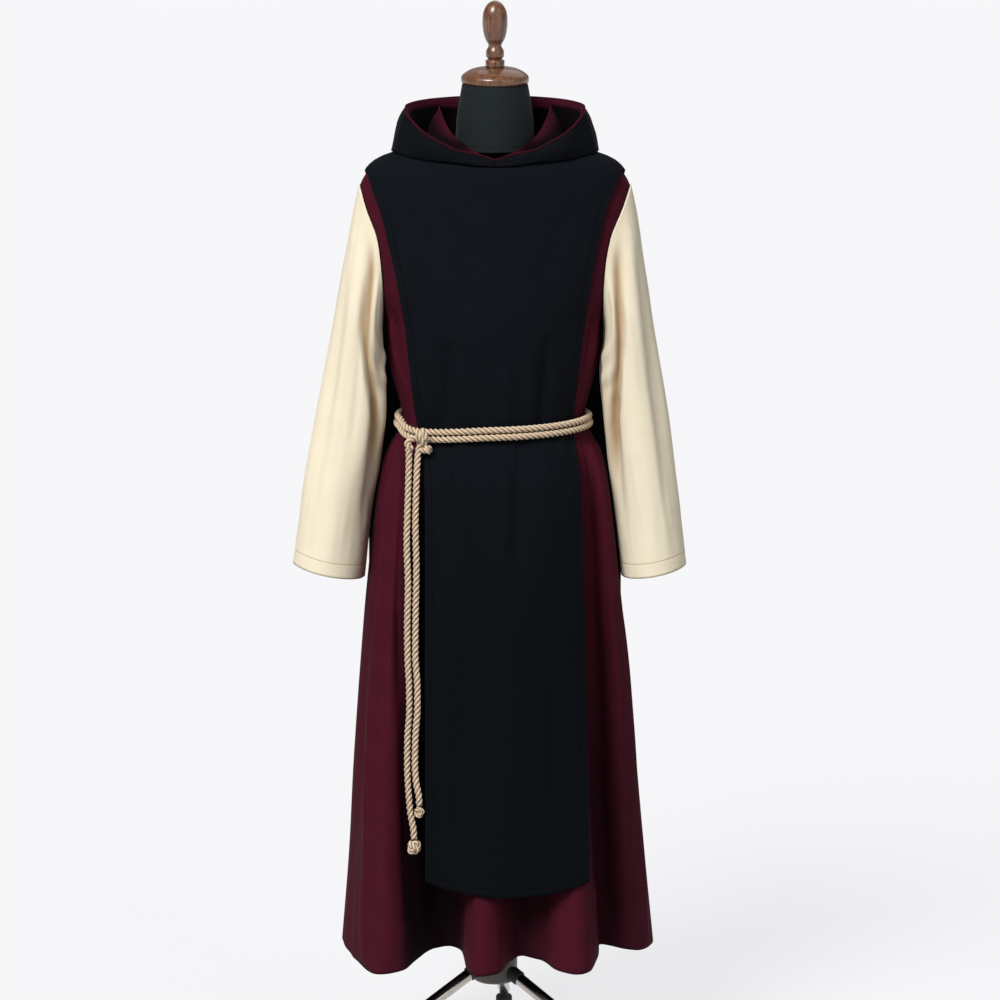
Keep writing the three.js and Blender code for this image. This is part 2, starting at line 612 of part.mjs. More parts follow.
[['left', 1], ['right', -1]].forEach(([which, side]) => {
  addHoodHalf(side, `hood_${which}`, hoodPoint, range(0, 1, 6), wall.hood, colours.black);
  addHoodHalf(side, `hood_lining_${which}`, liningPoint, range(0, 1, 3), wall.lining, colours.burgundy);
});

// ---- rope belt ----
const ropeRadius = ropeDiameter / 2;
const turnPitch = ropeDiameter + 2 * seamGap;     // from one turn of the belt to the next
const beltShift = -3;

// Each turn of the belt runs over the front panel and the tunic and under the back panel.
const beltTurns = [
  { name: 'belt_turn_upper', height: waistHeight + turnPitch / 2, half: 167.7, front: 127.2, back: 110 },
  { name: 'belt_turn_lower', height: waistHeight - turnPitch / 2, half: 169.5, front: 129.6, back: 112.6 },
];
// The knot's weight draws the belt down and a little outwards: turn is in degrees from the wearer's
// left side (0) by the middle of the front (-90) to the right side (-180).
const beltDrop = [
  { turn: -180, drop: 0 },
  { turn: -166, drop: 1 },
  { turn: -151, drop: 11 },
  { turn: -141, drop: 13 },
  { turn: -124, drop: 10 },
  { turn: -90, drop: 3 },
  { turn: -45, drop: 1 },
  { turn: 0, drop: 0 },
];
const beltBulge = 0.36;       // how far out it stands for each millimetre of drop
beltTurns.forEach(({ name, height, half, front, back }) => {
  const ring = new THREE.TorusGeometry(1, 0.5, 8, 52);
  const places = ring.attributes.position;
  for (let i = 0; i < places.count; i += 1) {
    const angle = Math.atan2(places.getY(i), places.getX(i));
    const drop = read(beltDrop, 'turn', 'drop', THREE.MathUtils.radToDeg(angle));
    const outward = (Math.hypot(places.getX(i), places.getY(i)) - 1) * ropeDiameter + drop * beltBulge;
    const depth = Math.sin(angle) < 0 ? front : back;
    const normal = new THREE.Vector2(Math.cos(angle) / half, Math.sin(angle) / depth).normalize();
    places.setXYZ(
      i,
      beltShift + half * Math.cos(angle) + normal.x * outward,
      depth * Math.sin(angle) + normal.y * outward,
      height + places.getZ(i) * ropeDiameter - drop,
    );
  }
  ring.computeVertexNormals();
  addMesh(name, ring, colours.rope, 0.85);
});

// The knot: a barrel of rope turns in front of the belt, with a loop on its right side (the
// wearer's) and a tuck below it.
const knot = { x: -125, y: -118, z: 1163, tilt: -18 };
const barrel = (turns, girth, height) => {
  const steps = turns * 4;
  const profile = range(0, turns, steps).map((at) => {
    const bulge = Math.abs(Math.sin(Math.PI * at)) * ropeRadius * 0.45;
    return [girth - ropeRadius * 0.45 + bulge, (at / turns - 0.5) * height];
  });
  return turned([[0, -height / 2], ...profile, [0, height / 2]], 14);
};
const placed = (geometry, x, y, z, tilt) =>
  geometry.rotateY(radians(tilt)).translate(x, y, z);
addMesh('belt_knot', placed(barrel(3, 11.5, 28), knot.x, knot.y, knot.z, knot.tilt), colours.rope, 0.85);
addMesh('belt_tuck', placed(new THREE.SphereGeometry(9, 12, 8), knot.x + 7.9, knot.y, knot.z - 22.2, 0),
  colours.rope, 0.85);
const loopRoute = [
  [-138, -118.5, 1160.5], [-145, -120, 1160.5], [-150.5, -121.5, 1157], [-151, -122.3, 1151],
  [-150.2, -122.5, 1146],
];
addMesh('belt_loop', rod(loopRoute, ropeRadius - 0.5, 12, 8), colours.rope, 0.85);

// The two hanging ends and the knots that finish them.
const longRoute = [
  [-149.9, -122.6, 1144.8], [-149.2, -124, 1130], [-150, -130, 1090], [-152, -141, 1029],
  [-153, -148, 984], [-151, -156, 906], [-152.5, -161, 841], [-152, -165, 785],
  [-149.5, -169, 728], [-149, -172, 695], [-152.5, -175, 638], [-153, -179, 593],
  [-151, -184, 549], [-148, -188, 513], [-142, -192.5, 474], [-141.5, -193, 463],
];
const shortRoute = [
  [-132.2, -115.5, 1142], [-133.6, -122, 1128], [-136, -134, 1091], [-138, -145, 1014],
  [-136.5, -154, 938], [-138, -160, 859], [-138.5, -168, 786], [-135, -175, 731],
  [-135, -180, 698], [-138.8, -184, 641], [-139.6, -188, 595], [-137.5, -192, 566],
  [-132.5, -196.5, 538], [-132, -197, 525],
];
addMesh('rope_end_long', rod(longRoute, ropeRadius, 34, 8), colours.rope, 0.85);
addMesh('rope_end_short', rod(shortRoute, ropeRadius, 31, 8), colours.rope, 0.85);

const endKnot = (girth, height) => turned([
  [0, -height / 2], [girth * 0.45, -height / 2], [girth * 0.8, -height * 0.4],
  [girth, -height * 0.12], [girth * 0.96, height * 0.12], [girth * 0.72, height * 0.38],
  [ropeRadius, height / 2], [0, height / 2],
], 12);
addMesh('end_knot_long', placed(endKnot(13.5, 29), -141.5, -193, 463 - 0.6 - 14.5, 0), colours.rope, 0.85);
addMesh('end_knot_short', placed(endKnot(9, 24), -132, -197, 525 - 0.6 - 12, 0), colours.rope, 0.85);

// ---- dress form ----
const formGap = 1.3;          // between the form and the tunic on the shoulders
const formRows = [
  { height: 1000, half: 146, front: 90, back: 94 },
  { height: 1090, half: 149, front: 94, back: 96 },
  { height: 1174, half: 132, front: 88, back: 84 },
  { height: 1300, half: 156, front: 100, back: 94 },
  { height: 1420, half: 176, front: 104, back: 100 },
  { height: 1500, half: 196, front: 99, back: 102 },
  { height: 1550, half: 211, front: 95, back: 98 },
  { height: 1588, half: 220, front: 94, back: 96 },
];
const formTurns = range(0, 360, 20).slice(0, 20);
const neckRadius = { foot: 71, middle: 66, top: 57 };
const neckFoot = 1652;
const ringAt = (height, half, front, back) => formTurns.map((turn) => new THREE.Vector3(
  half * Math.sin(radians(turn)),
  -(Math.cos(radians(turn)) > 0 ? front : back) * Math.cos(radians(turn)),
  height,
));
const formHeights = [1000, 1045, 1090, 1130, 1174, 1230, 1300, 1360, 1420, 1500, 1550, 1588];
const formRings = formHeights.map((height) => {
  const [half, front, back] = ['half', 'front', 'back'].map((n) => read(formRows, 'height', n, height));
  return ringAt(height, half, front, back);
});
const shoulderRings = [1612, 1626, 1638, 1650].map((height) =>
  formTurns.map((turn) => movedOut(turn, height, -wall.tunic - formGap)));
const neckSeat = ringAt(neckFoot - seamGap, neckRadius.foot, neckRadius.foot, neckRadius.foot);
addMesh('form_body', loft([...formRings, ...shoulderRings, neckSeat]), colours.formCloth);

const neckTop = 1764.7;
addMesh('form_neck', turned([
  [0, neckFoot], [neckRadius.foot, neckFoot], [neckRadius.middle + 2.5, 1672],
  [neckRadius.middle + 0.5, 1702], [62, 1735], [neckRadius.top, neckTop], [0, neckTop],
], 24), colours.formCloth);

const capFoot = neckTop + seamGap;
const capHeight = 27.3;
addMesh('neck_cap', turned([
  [0, 0], [56.5, 0], [58.7, 2.5], [59.1, 6], [58.7, 10], [57.4, 13],
  [52, 17.8], [44, 22.3], [34, 25.6], [17, capHeight], [0, capHeight],
].map(([radius, height]) => [radius, height + capFoot]), 24), colours.walnut, 0.3);

const finialFoot = capFoot + capHeight + seamGap;
addMesh('finial', turned([
  [0, 0], [16.6, 0], [16.6, 12.2], [12.3, 14.8], [15.6, 18.5], [15.6, 29.5], [11.4, 36.5],
  [14.8, 43.4], [19.6, 57.3], [21.8, 79.8], [20.6, 93], [16, 104], [8.5, 112.3], [0, 115.3],
].map(([radius, height]) => [radius, height + finialFoot]), 14), colours.walnut, 0.3);

// ---- stand ----
const poleRadius = 14;
const hub = { radius: 40, foot: 148, top: 200 };
addMesh('pole', turned([
  [0, hub.top + seamGap], [poleRadius, hub.top + seamGap],
  [poleRadius, 1000 - seamGap], [0, 1000 - seamGap],
], 16), colours.chrome, 0.25, 0.9);
addMesh('hub', turned([
  [0, hub.foot], [34, hub.foot], [hub.radius, hub.foot + 6], [hub.radius, hub.top - 8],
  [30, hub.top], [0, hub.top],
], 24), colours.hub, 0.5);

const leg = { radius: 11, start: 45, reach: 322, foot: 30.2 };
const foot = { radius: 15, height: 20, reach: 320 };
// where each leg stands, in degrees from +X towards +Y, and the height at which it leaves the hub
const legRows = [{ turn: 212, top: 171 }, { turn: 322, top: 164 }, { turn: 87, top: 164 }];
legRows.forEach(({ turn, top }, i) => {
  const at = (reach, height) => [reach * Math.cos(radians(turn)), reach * Math.sin(radians(turn)), height];
  const steps = range(0, 1, 2).map((t) => at(
    THREE.MathUtils.lerp(leg.start, leg.reach, t), THREE.MathUtils.lerp(top, leg.foot, t)));
  addMesh(`leg_${i + 1}`, rod(steps, leg.radius, 2, 14), colours.chrome, 0.25, 0.9);
  const [x, y] = at(foot.reach, 0);
  addMesh(`foot_${i + 1}`, placed(turned([
    [0, 0], [foot.radius, 0], [foot.radius, foot.height - 4], [foot.radius - 3, foot.height], [0, foot.height],
  ], 12), x, y, 0, 0), colours.rubber);
});

// The pole stands a little behind and beside the middle of the floor that the part covers.
habit.position.set(10.5, -51, 0);

export default habit;
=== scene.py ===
# Monk habit on a dress form: burgundy tunic, cream sleeves, black scapular and cowl, rope belt.
# Tables are in millimetres from the floor under the form's pole; metres() takes a point to the
# part's own frame. The wearer's left is +X and the front faces -Y.
import bisect
import math

import bmesh
import bpy
from mathutils import Matrix, Vector, noise


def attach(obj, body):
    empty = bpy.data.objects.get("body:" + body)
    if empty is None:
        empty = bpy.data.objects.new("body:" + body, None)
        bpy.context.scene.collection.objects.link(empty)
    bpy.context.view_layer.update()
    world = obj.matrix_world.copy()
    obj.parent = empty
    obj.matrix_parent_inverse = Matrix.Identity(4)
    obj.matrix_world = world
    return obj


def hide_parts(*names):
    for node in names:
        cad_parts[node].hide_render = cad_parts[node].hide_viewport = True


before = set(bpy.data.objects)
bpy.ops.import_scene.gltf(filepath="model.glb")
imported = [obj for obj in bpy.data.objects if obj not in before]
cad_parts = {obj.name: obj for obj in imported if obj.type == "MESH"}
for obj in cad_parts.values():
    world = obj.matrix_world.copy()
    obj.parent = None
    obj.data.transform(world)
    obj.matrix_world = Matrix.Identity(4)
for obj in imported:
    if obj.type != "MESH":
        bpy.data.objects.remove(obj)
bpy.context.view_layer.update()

poleFoot = Vector((10.5, -51, 0))


def metres(point):
    return (Vector(point) + poleFoot) * 0.001


def linear(hexColour):
    channels = [int(hexColour[i:i + 2], 16) / 255 for i in (1, 3, 5)]
    return [c / 12.92 if c <= 0.04045 else ((c + 0.055) / 1.055) ** 2.4 for c in channels] + [1]


def smoothstep(at, low, high):
    t = min(max((at - low) / (high - low), 0), 1)
    return t * t * (3 - 2 * t)


# One column of a table, read on a smooth curve that never overshoots a row.
def columnOf(rows, index):
    ordered = sorted(rows, key=lambda row: row[0])
    keys = [row[0] for row in ordered]
    values = [row[index] for row in ordered]
    last = len(keys) - 1
    slopes = [(values[i + 1] - values[i]) / (keys[i + 1] - keys[i]) for i in range(last)]
    inner = [0 if a * b <= 0 else 2 * a * b / (a + b) for a, b in zip(slopes, slopes[1:])]
    tangents = [slopes[0], *inner, slopes[-1]]

    def value(at):
        i = min(max(bisect.bisect_right(keys, at) - 1, 0), last - 1)
        step = keys[i + 1] - keys[i]
        t = min(max((at - keys[i]) / step, 0), 1)
        start = values[i] * (1 + 2 * t) * (1 - t) ** 2 + tangents[i] * step * t * (1 - t) ** 2
        end = values[i + 1] * (3 - 2 * t) * t * t - tangents[i + 1] * step * t * t * (1 - t)
        return start + end

    return value


def linesOf(rows):
    return [columnOf(rows, index) for index in (1, 2, 3)]


def pointOn(lines, at):
    return Vector([line(at) for line in lines])


# camera
camera = {"target": (0.0105, -0.051, 1.027), "distance": 9.2, "pitch": 12, "lens": 188.2, "shiftX": 0.005}


def addCamera():
    tilt = math.radians(camera["pitch"])
    data = bpy.data.cameras.new("camera")
    data.lens = camera["lens"]
    data.shift_x = camera["shiftX"]
    data.clip_end = 60
    piece = bpy.data.objects.new("camera", data)
    away = Vector((0, -math.cos(tilt), math.sin(tilt))) * camera["distance"]
    piece.location = Vector(camera["target"]) + away
    piece.rotation_euler = (math.pi / 2 - tilt, 0, 0)
    bpy.context.collection.objects.link(piece)
    bpy.context.scene.camera = piece


addCamera()
bpy.context.scene.view_settings.view_transform = "Standard"
print("camera set")


# making meshes
def finishPiece(bm, name, material, nodes, smoothAngle=180):
    mesh = bpy.data.meshes.new(name)
    for face in bm.faces:
        face.smooth = True
    bm.to_mesh(mesh)
    bm.free()
    if smoothAngle < 180:
        mesh.set_sharp_from_angle(angle=math.radians(smoothAngle))
    mesh.materials.append(material)
    piece = bpy.data.objects.new(name, mesh)
    bpy.context.collection.objects.link(piece)
    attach(piece, "root")
    if nodes:
        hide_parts(*nodes)
    return piece


# A grid bent over surface(u, v), with u and v from 0 to 1. Its UV map, "weave", measures the cloth
# in metres: across from the middle, and up from the bottom. The attributes sideEdge and hemEdge
# hold each point's distance to the nearest side edge and to the nearest end, and depth the painted
# shade there: how far the cloth's colour is turned to dark (0 to 1).
def bentGrid(surface, columns, rows, closedAcross=False, closedAlong=False, relief=None, depth=None):
    bm = bmesh.new()
    bmesh.ops.create_grid(bm, x_segments=columns, y_segments=rows, size=0.5)
    uvs = bm.loops.layers.uv.new("weave")
    sideEdge = bm.verts.layers.float.new("sideEdge")
    hemEdge = bm.verts.layers.float.new("hemEdge")
    shadePainted = bm.verts.layers.float.new("depth")
    cells = {}
    for vert in bm.verts:
        i, j = round((vert.co.x + 0.5) * columns), round((vert.co.y + 0.5) * rows)
        cells[i, j] = vert
        vert.co = metres(surface(i / columns, j / rows))
    if relief:
        bm.normal_update()
        for (i, j), vert in cells.items():
            away = vert.normal
            if closedAcross and i in (0, columns):
                away = (cells[0, j].normal + cells[columns, j].normal).normalized()
            u = i % columns / columns if closedAcross else i / columns
            vert.co = vert.co + away * relief(u, j / rows) * 0.001
    across, along = {}, {}
    for j in range(rows + 1):
        reach = 0
        for i in range(columns + 1):
            reach += (cells[i, j].co - cells[i - 1, j].co).length if i else 0
            across[i, j] = reach
    for i in range(columns + 1):
        reach = 0
        for j in range(rows + 1):
            reach += (cells[i, j].co - cells[i, j - 1].co).length if j else 0
            along[i, j] = reach
    for (i, j), vert in cells.items():
        vert[sideEdge] = 1 if closedAcross else min(across[i, j], across[columns, j] - across[i, j])
        vert[hemEdge] = along[i, j]
        vert[shadePainted] = depth(i / columns, j / rows) if depth else 0
        place = (across[i, j] - across[columns, j] / 2, along[i, j])
        for loop in vert.link_loops:
            loop[uvs].uv = place
    if closedAcross or closedAlong:
        bmesh.ops.remove_doubles(bm, verts=bm.verts, dist=1e-6)
    return bm


def addWall(piece, thickness):
    wall = piece.modifiers.new("wall", "SOLIDIFY")
    wall.thickness = thickness * 0.001
    wall.offset = -1
    return piece


# Profile of (radius, height) points turned about an upright axis.
def turnedPiece(name, profile, material, nodes, steps=64, smoothAngle=40, at=(0, 0, 0)):
    bm = bmesh.new()
    verts = [bm.verts.new((radius, 0, height)) for radius, height in profile]
    edges = [bm.edges.new(pair) for pair in zip(verts, verts[1:])]
    bmesh.ops.spin(bm, geom=verts + edges, cent=(0, 0, 0), axis=(0, 0, 1), angle=math.tau, steps=steps,
                   use_merge=True, dvec=(0, 0, 0))
    bmesh.ops.remove_doubles(bm, verts=bm.verts, dist=1e-4)
    bmesh.ops.recalc_face_normals(bm, faces=bm.faces)
    for vert in bm.verts:
        vert.co = metres(vert.co + Vector(at))
    return finishPiece(bm, name, material, nodes, smoothAngle)


# making materials
# A new material and the one function that adds its nodes: inputs are links or values by the socket's
# name or number, and what comes back is the output that out names.
def newMaterial(name):
    material = bpy.data.materials.new(name)
    material.use_nodes = True
    tree = material.node_tree
    tree.nodes.clear()

    def addNode(kind, inputs=None, out=0, **settings):
        node = tree.nodes.new("ShaderNode" + kind)
        for setting, value in settings.items():
            setattr(node, setting, value)
        for key, value in (inputs or {}).items():
            if isinstance(value, bpy.types.NodeSocket):
                tree.links.new(value, node.inputs[key])
            else:
                node.inputs[key].default_value = value
        return node.outputs[out] if len(node.outputs) else None

    return material, addNode


# Each material ends here: its colour, its relief and what is the same all over its surface.
def finishMaterial(addNode, colour, relief, strength, depthMm, same):
    bump = addNode("Bump", {"Height": relief, "Strength": strength, "Distance": depthMm * 0.001})
    surface = addNode("BsdfPrincipled", {"Base Color": colour, "Normal": bump, **same})
    addNode("OutputMaterial", {"Surface": surface})


# Scale of a wave pattern whose lines are this far apart.
def waveScale(spacingMm):
    return math.tau / (20 * spacingMm * 0.001)


# Woollen twill, woven from carded yarn and fulled: matt and slightly felted, so it has soft mottling,
# a fine diagonal line and a faint sheen at grazing angles. The twill line of the real cloth is
# 0.8 mm wide; it is drawn at threadMm so that it shows. A stitch is thread for stitchShare of its
# length, and pulls the cloth in over pullMm on either side. shadeLow to shadeHigh, up from the hem in
# metres, is where a panel's lowShade fades out.
wool = {"threadMm": 2.2, "fuzzMm": 1.4, "cloudMm": 38, "stitchLengthMm": 3.4, "stitchShare": 0.68,
        "stitchHalfMm": 0.7, "pullMm": 2.2, "shadeLow": 0.45, "shadeHigh": 1.05, "shadeShare": 0.75}


# Topstitching: a line of short stitches that pulls the cloth in along each finished edge.
def stitchLines(addNode, uv, inset):
    across = addNode("SeparateXYZ", {0: uv})
    pull = 0.0
    thread = 0.0
    for edge, along in (("sideEdge", across.node.outputs[1]), ("hemEdge", across)):
        reach = addNode("Attribute", out="Fac", attribute_name=edge)
        off = addNode("Math", {0: reach, 1: inset}, operation="SUBTRACT")
        off = addNode("Math", {0: off}, operation="ABSOLUTE")
        groove = addNode("MapRange", {"Value": off, "From Min": 0, "From Max": wool["pullMm"] * 0.001,
                                      "To Min": 1, "To Max": 0}, interpolation_type="SMOOTHSTEP")
        dash = addNode("Math", {0: along, 1: wool["stitchLengthMm"] * 0.001}, operation="DIVIDE")
        dash = addNode("Math", {0: dash}, operation="FRACT")
        dash = addNode("Math", {0: dash, 1: wool["stitchShare"]}, operation="LESS_THAN")
        line = addNode("Math", {0: off, 1: wool["stitchHalfMm"] * 0.001}, operation="LESS_THAN")
        line = addNode("Math", {0: line, 1: dash}, operation="MULTIPLY")
        pull = addNode("Math", {0: groove, 1: pull}, operation="MAXIMUM")
        thread = addNode("Math", {0: line, 1: thread}, operation="MAXIMUM")
    return pull, thread


# Cloth whose colour turns to its painted shade colour where its depth attribute is 1, and which is
# stitched where stitch is given.
def woolMaterial(name, light, dark, sheen, roughness, paintedShadeColour="#060306", lowShade=None, stitch=None,
                 stitchInMm=14):
    material, addNode = newMaterial(name)
    uv = addNode("UVMap", uv_map="weave")
    twill = addNode("TexWave", {"Vector": uv, "Scale": waveScale(wool["threadMm"]), "Distortion": 1.6,
                                "Detail": 2, "Detail Scale": 3},
                    out="Fac", wave_type="BANDS", bands_direction="DIAGONAL")
    fuzz = addNode("TexNoise", {"Vector": uv, "Scale": 1000 / wool["fuzzMm"], "Detail": 3}, out="Fac")
    cloud = addNode("TexNoise", {"Vector": uv, "Scale": 1000 / wool["cloudMm"], "Detail": 5,
                                 "Roughness": 0.62}, out="Fac")
    tone = addNode("Math", {0: fuzz, 1: 0.75}, operation="MULTIPLY")
    tone = addNode("Math", {0: cloud, 1: 0.25, 2: tone}, operation="MULTIPLY_ADD")
    tone = addNode("MapRange", {"Value": tone, "From Min": 0.3, "From Max": 0.7})
    colour = addNode("Mix", {0: tone, 6: linear(dark), 7: linear(light)}, out=2, data_type="RGBA")
    if lowShade:
        up = addNode("SeparateXYZ", {0: uv}, out=1)
        low = addNode("MapRange", {"Value": up, "From Min": wool["shadeLow"], "From Max": wool["shadeHigh"],
                                   "To Min": wool["shadeShare"], "To Max": 0})
        colour = addNode("Mix", {0: low, 6: colour, 7: linear(lowShade)}, out=2, data_type="RGBA")
    # Painted shade: the colour is mixed towards the painted shade colour by the depth attribute.
    shadePainted = addNode("Attribute", out="Fac", attribute_name="depth")
    colour = addNode("Mix", {0: shadePainted, 6: colour, 7: linear(paintedShadeColour)}, out=2, data_type="RGBA")
    relief = addNode("Math", {0: twill, 1: 0.35}, operation="MULTIPLY")
    relief = addNode("Math", {0: fuzz, 1: 0.8, 2: relief}, operation="MULTIPLY_ADD")
    if stitch:
        pull, thread = stitchLines(addNode, uv, stitchInMm * 0.001)
        # Painted shade in each stitch's pulled groove: the colour is multiplied towards the dark tone there.
        share = addNode("Math", {0: pull, 1: 0.3}, operation="MULTIPLY")
        colour = addNode("Mix", {0: share, 6: colour, 7: linear(dark)}, out=2, data_type="RGBA",
                         blend_type="MULTIPLY")
        share = addNode("Math", {0: thread, 1: 0.6}, operation="MULTIPLY")
        colour = addNode("Mix", {0: share, 6: colour, 7: linear(stitch)}, out=2, data_type="RGBA")
        relief = addNode("Math", {0: pull, 1: -1.8, 2: relief}, operation="MULTIPLY_ADD")
        relief = addNode("Math", {0: thread, 1: 0.9, 2: relief}, operation="MULTIPLY_ADD")
    finishMaterial(addNode, colour, relief, 0.6, 0.5, {
        "Roughness": roughness, "Sheen Weight": sheen, "Sheen Roughness": 0.55, "IOR": 1.45,
        "Sheen Tint": linear(light), "Specular IOR Level": 0.07})
    return material


burgundyWool = woolMaterial("burgundyWoolTwill", "#501626", "#360b17", 0.03, 0.88)
blackWool = woolMaterial("blackWoolTwill", "#10141b", "#090b11", 0.015, 0.86, lowShade="#04070a",
                         stitch="#020304")
hoodWool = woolMaterial("blackWoolUnstitched", "#0c1016", "#06080c", 0.01, 0.86)
# The cream's painted shade colour is a warm brown, for the shadow in its creases and on the side towards the
# body.
creamWool = woolMaterial("creamWoolTwill", "#f6ecd6", "#eadcbc", 0.05, 0.88, paintedShadeColour="#a5835a",
                         stitch="#c8b082", stitchInMm=25)


# Cotton cord, three strands of plied yarn laid up hard: matt, with yarns that show as fine lines
# along the cord, and painted shade in the grooves between the strands.
cordFinish = {"yarnMm": 1.3, "fibresPerMetre": 900, "paintedGrooveShade": 0.8}


def cottonMaterial():
    material, addNode = newMaterial("cottonCord")
    uv = addNode("UVMap", uv_map="weave")
    yarn = addNode("TexWave", {"Vector": uv, "Scale": waveScale(cordFinish["yarnMm"]), "Distortion": 2.2,
                               "Detail": 2, "Detail Scale": 2},
                   out="Fac", wave_type="BANDS", bands_direction="X")
    fibre = addNode("TexNoise", {"Vector": uv, "Scale": cordFinish["fibresPerMetre"], "Detail": 4}, out="Fac")
    # Painted shade in the grooves between the strands, from the rope's groove attribute.
    groove = addNode("Attribute", out="Fac", attribute_name="groove")
    paintedGrooveShade = addNode("Math", {0: groove, 1: cordFinish["paintedGrooveShade"]}, operation="MULTIPLY")
    lit = addNode("Mix", {0: fibre, 6: linear("#ccb18e"), 7: linear("#ecdabf")}, out=2, data_type="RGBA")
    colour = addNode("Mix", {0: paintedGrooveShade, 6: lit, 7: linear("#866650")}, out=2, data_type="RGBA")
    relief = addNode("Math", {0: yarn, 1: 0.7}, operation="MULTIPLY")
    relief = addNode("Math", {0: fibre, 1: 0.5, 2: relief}, operation="MULTIPLY_ADD")
    finishMaterial(addNode, colour, relief, 0.7, 0.4, {
        "Roughness": 0.82, "Sheen Weight": 0.1, "Sheen Roughness": 0.5, "IOR": 1.5,
        "Specular IOR Level": 0.15})
    return material


cottonCord = cottonMaterial()
print("cloth and cord materials made")

# rope
# lead is the length of one twist. A strand's axis and radius, the floor of the grooves and the edge
# where their painted shade starts are shares of the rope's radius.
rope = {"diameter": 12, "lead": 29, "strands": 3, "sidesPerStrand": 8, "step": 1.6,
        "strandAxis": 0.536, "strandRadius": 0.464, "grooveShare": 0.7, "grooveEdge": 0.9}


# Points every few millimetres along a smooth line through a route.
def alongRoute(route, step, closed=False):
    points = [Vector(p) for p in route]
    if closed:
        points.append(points[0].copy())
    reach = [0]
    for a, b in zip(points, points[1:]):
        reach.append(reach[-1] + (b - a).length)
    lines = linesOf([(at, *p) for at, p in zip(reach, points)])
    count = max(4, round(reach[-1] / step))
    return [pointOn(lines, reach[-1] * i / count) for i in range(count + 1)]


# The tangent at each point of a line, and a sideways direction that is carried along it with as
# little turning as may be. drift is the turn that a closed line is left with.
def framesAlong(points, closed):
    last = len(points) - 1
    tangents = []
    for j in range(last + 1):
        before = points[j - 1] if j else points[last - 1 if closed else 0]
        after = points[j + 1] if j < last else points[1 if closed else last]
        tangents.append((after - before).normalized())
    sideways = [tangents[0].orthogonal().normalized()]
    for j in range(1, last + 1):
        turn = tangents[j - 1].rotation_difference(tangents[j])
        sideways.append((turn @ sideways[-1]).normalized())
    start, end = sideways[0], sideways[last]
    drift = math.atan2(tangents[0].cross(end).dot(start), end.dot(start)) if closed else 0
    return tangents, sideways, drift


# Radius of a laid rope at an angle from the middle of a strand, as a share of the whole.
def strandReach(angle):
    spacing = math.tau / rope["strands"]
    off = (angle + spacing / 2) % spacing - spacing / 2
    beside = rope["strandAxis"] * math.sin(off)
    outer = rope["strandAxis"] * math.cos(off) + math.sqrt(max(0, rope["strandRadius"] ** 2 - beside ** 2))
    return max(rope["grooveShare"], outer)


# A laid rope along a line. squeeze gives the share of its radius at a share of its length.
def ropePiece(name, points, radius, node, closed=False, squeeze=None):
    count = len(points) - 1
    sides = rope["strands"] * rope["sidesPerStrand"]
    tangents, sideways, drift = framesAlong(points, closed)
    reach = [0]
    for a, b in zip(points, points[1:]):
        reach.append(reach[-1] + (b - a).length)
    lead = rope["lead"] * radius / (rope["diameter"] / 2)
    if closed:
        lead = reach[-1] / max(1, round(reach[-1] / lead))
    bm = bmesh.new()
    bmesh.ops.create_grid(bm, x_segments=sides, y_segments=count, size=0.5)
    uvs = bm.loops.layers.uv.new("weave")
    groove = bm.verts.layers.float.new("groove")
    for vert in bm.verts:
        i, j = round((vert.co.x + 0.5) * sides), round((vert.co.y + 0.5) * count)
        angle = math.tau * (i % sides) / sides
        twist = math.tau * reach[j] / lead
        share = strandReach(angle)
        turn = angle + twist + drift * j / count
        away = sideways[j] * math.cos(turn) + tangents[j].cross(sideways[j]) * math.sin(turn)
        girth = radius * (squeeze(j / count) if squeeze else 1)
        vert.co = metres(points[j] + away * girth * share)
        # the groove attribute carries the painted shade in the grooves between the strands
        vert[groove] = smoothstep(share, rope["grooveEdge"], rope["grooveShare"])
        for loop in vert.link_loops:
            loop[uvs].uv = ((math.tau * i / sides + twist) * radius * 0.001, reach[j] * 0.001)
    bmesh.ops.remove_doubles(bm, verts=bm.verts, dist=1e-6)
    if not closed:
        bmesh.ops.holes_fill(bm, edges=[edge for edge in bm.edges if edge.is_boundary], sides=0)
    bmesh.ops.recalc_face_normals(bm, faces=bm.faces)
    return finishPiece(bm, name, cottonCord, [node])


# The two hanging ends: the long one leaves the loop, the short one the tuck under the knot.
ropeEnds = {
    "rope_end_long": {"length": 0.70, "route": [
        (-149.9, -122.6, 1144.8), (-149.2, -124, 1130), (-150, -130, 1090), (-152, -141, 1029),
        (-153, -148, 984), (-151, -156, 906), (-152.5, -161, 841), (-152, -165, 785), (-149.5, -169, 728),
        (-149, -172, 695), (-152.5, -175, 638), (-153, -179, 593), (-151, -184, 549), (-148, -188, 513),
        (-142, -192.5, 474), (-141.5, -193, 463)]},
    "rope_end_short": {"length": 0.63, "route": [
        (-129, -113.5, 1153), (-132.2, -116, 1142), (-134, -122, 1128), (-136, -134, 1091),
        (-138, -145, 1014), (-136.5, -154, 938), (-138, -160, 859), (-138.5, -168, 786),
        (-135, -175, 731), (-135, -180, 698), (-138.8, -184, 641), (-139.6, -188, 595),
        (-137.5, -192, 566), (-132.5, -196.5, 538), (-132, -197, 525)]},
}
for node, end in ropeEnds.items():
    line = alongRoute(end["route"], rope["step"])
    ropePiece(node.replace("rope_", "cord_"), line, rope["diameter"] / 2, node)
    end["line"] = [metres(p) for p in line]

# The knot that finishes each end: the cord wound twice round itself and tucked through. width and
# height are the knot's own, cord the thickness of the cord drawn tight in it, and lean and turn
# (about X and Z) the way it faces.
endKnots = {
    "end_knot_long": {"middle": (-141.5, -193, 447.9), "width": 27, "height": 29, "cord": 10.8,
                      "lean": 62, "turn": 24},
    "end_knot_short": {"middle": (-132, -197, 512.4), "width": 19, "height": 24, "cord": 8.2,
                       "lean": 40, "turn": 70},
}


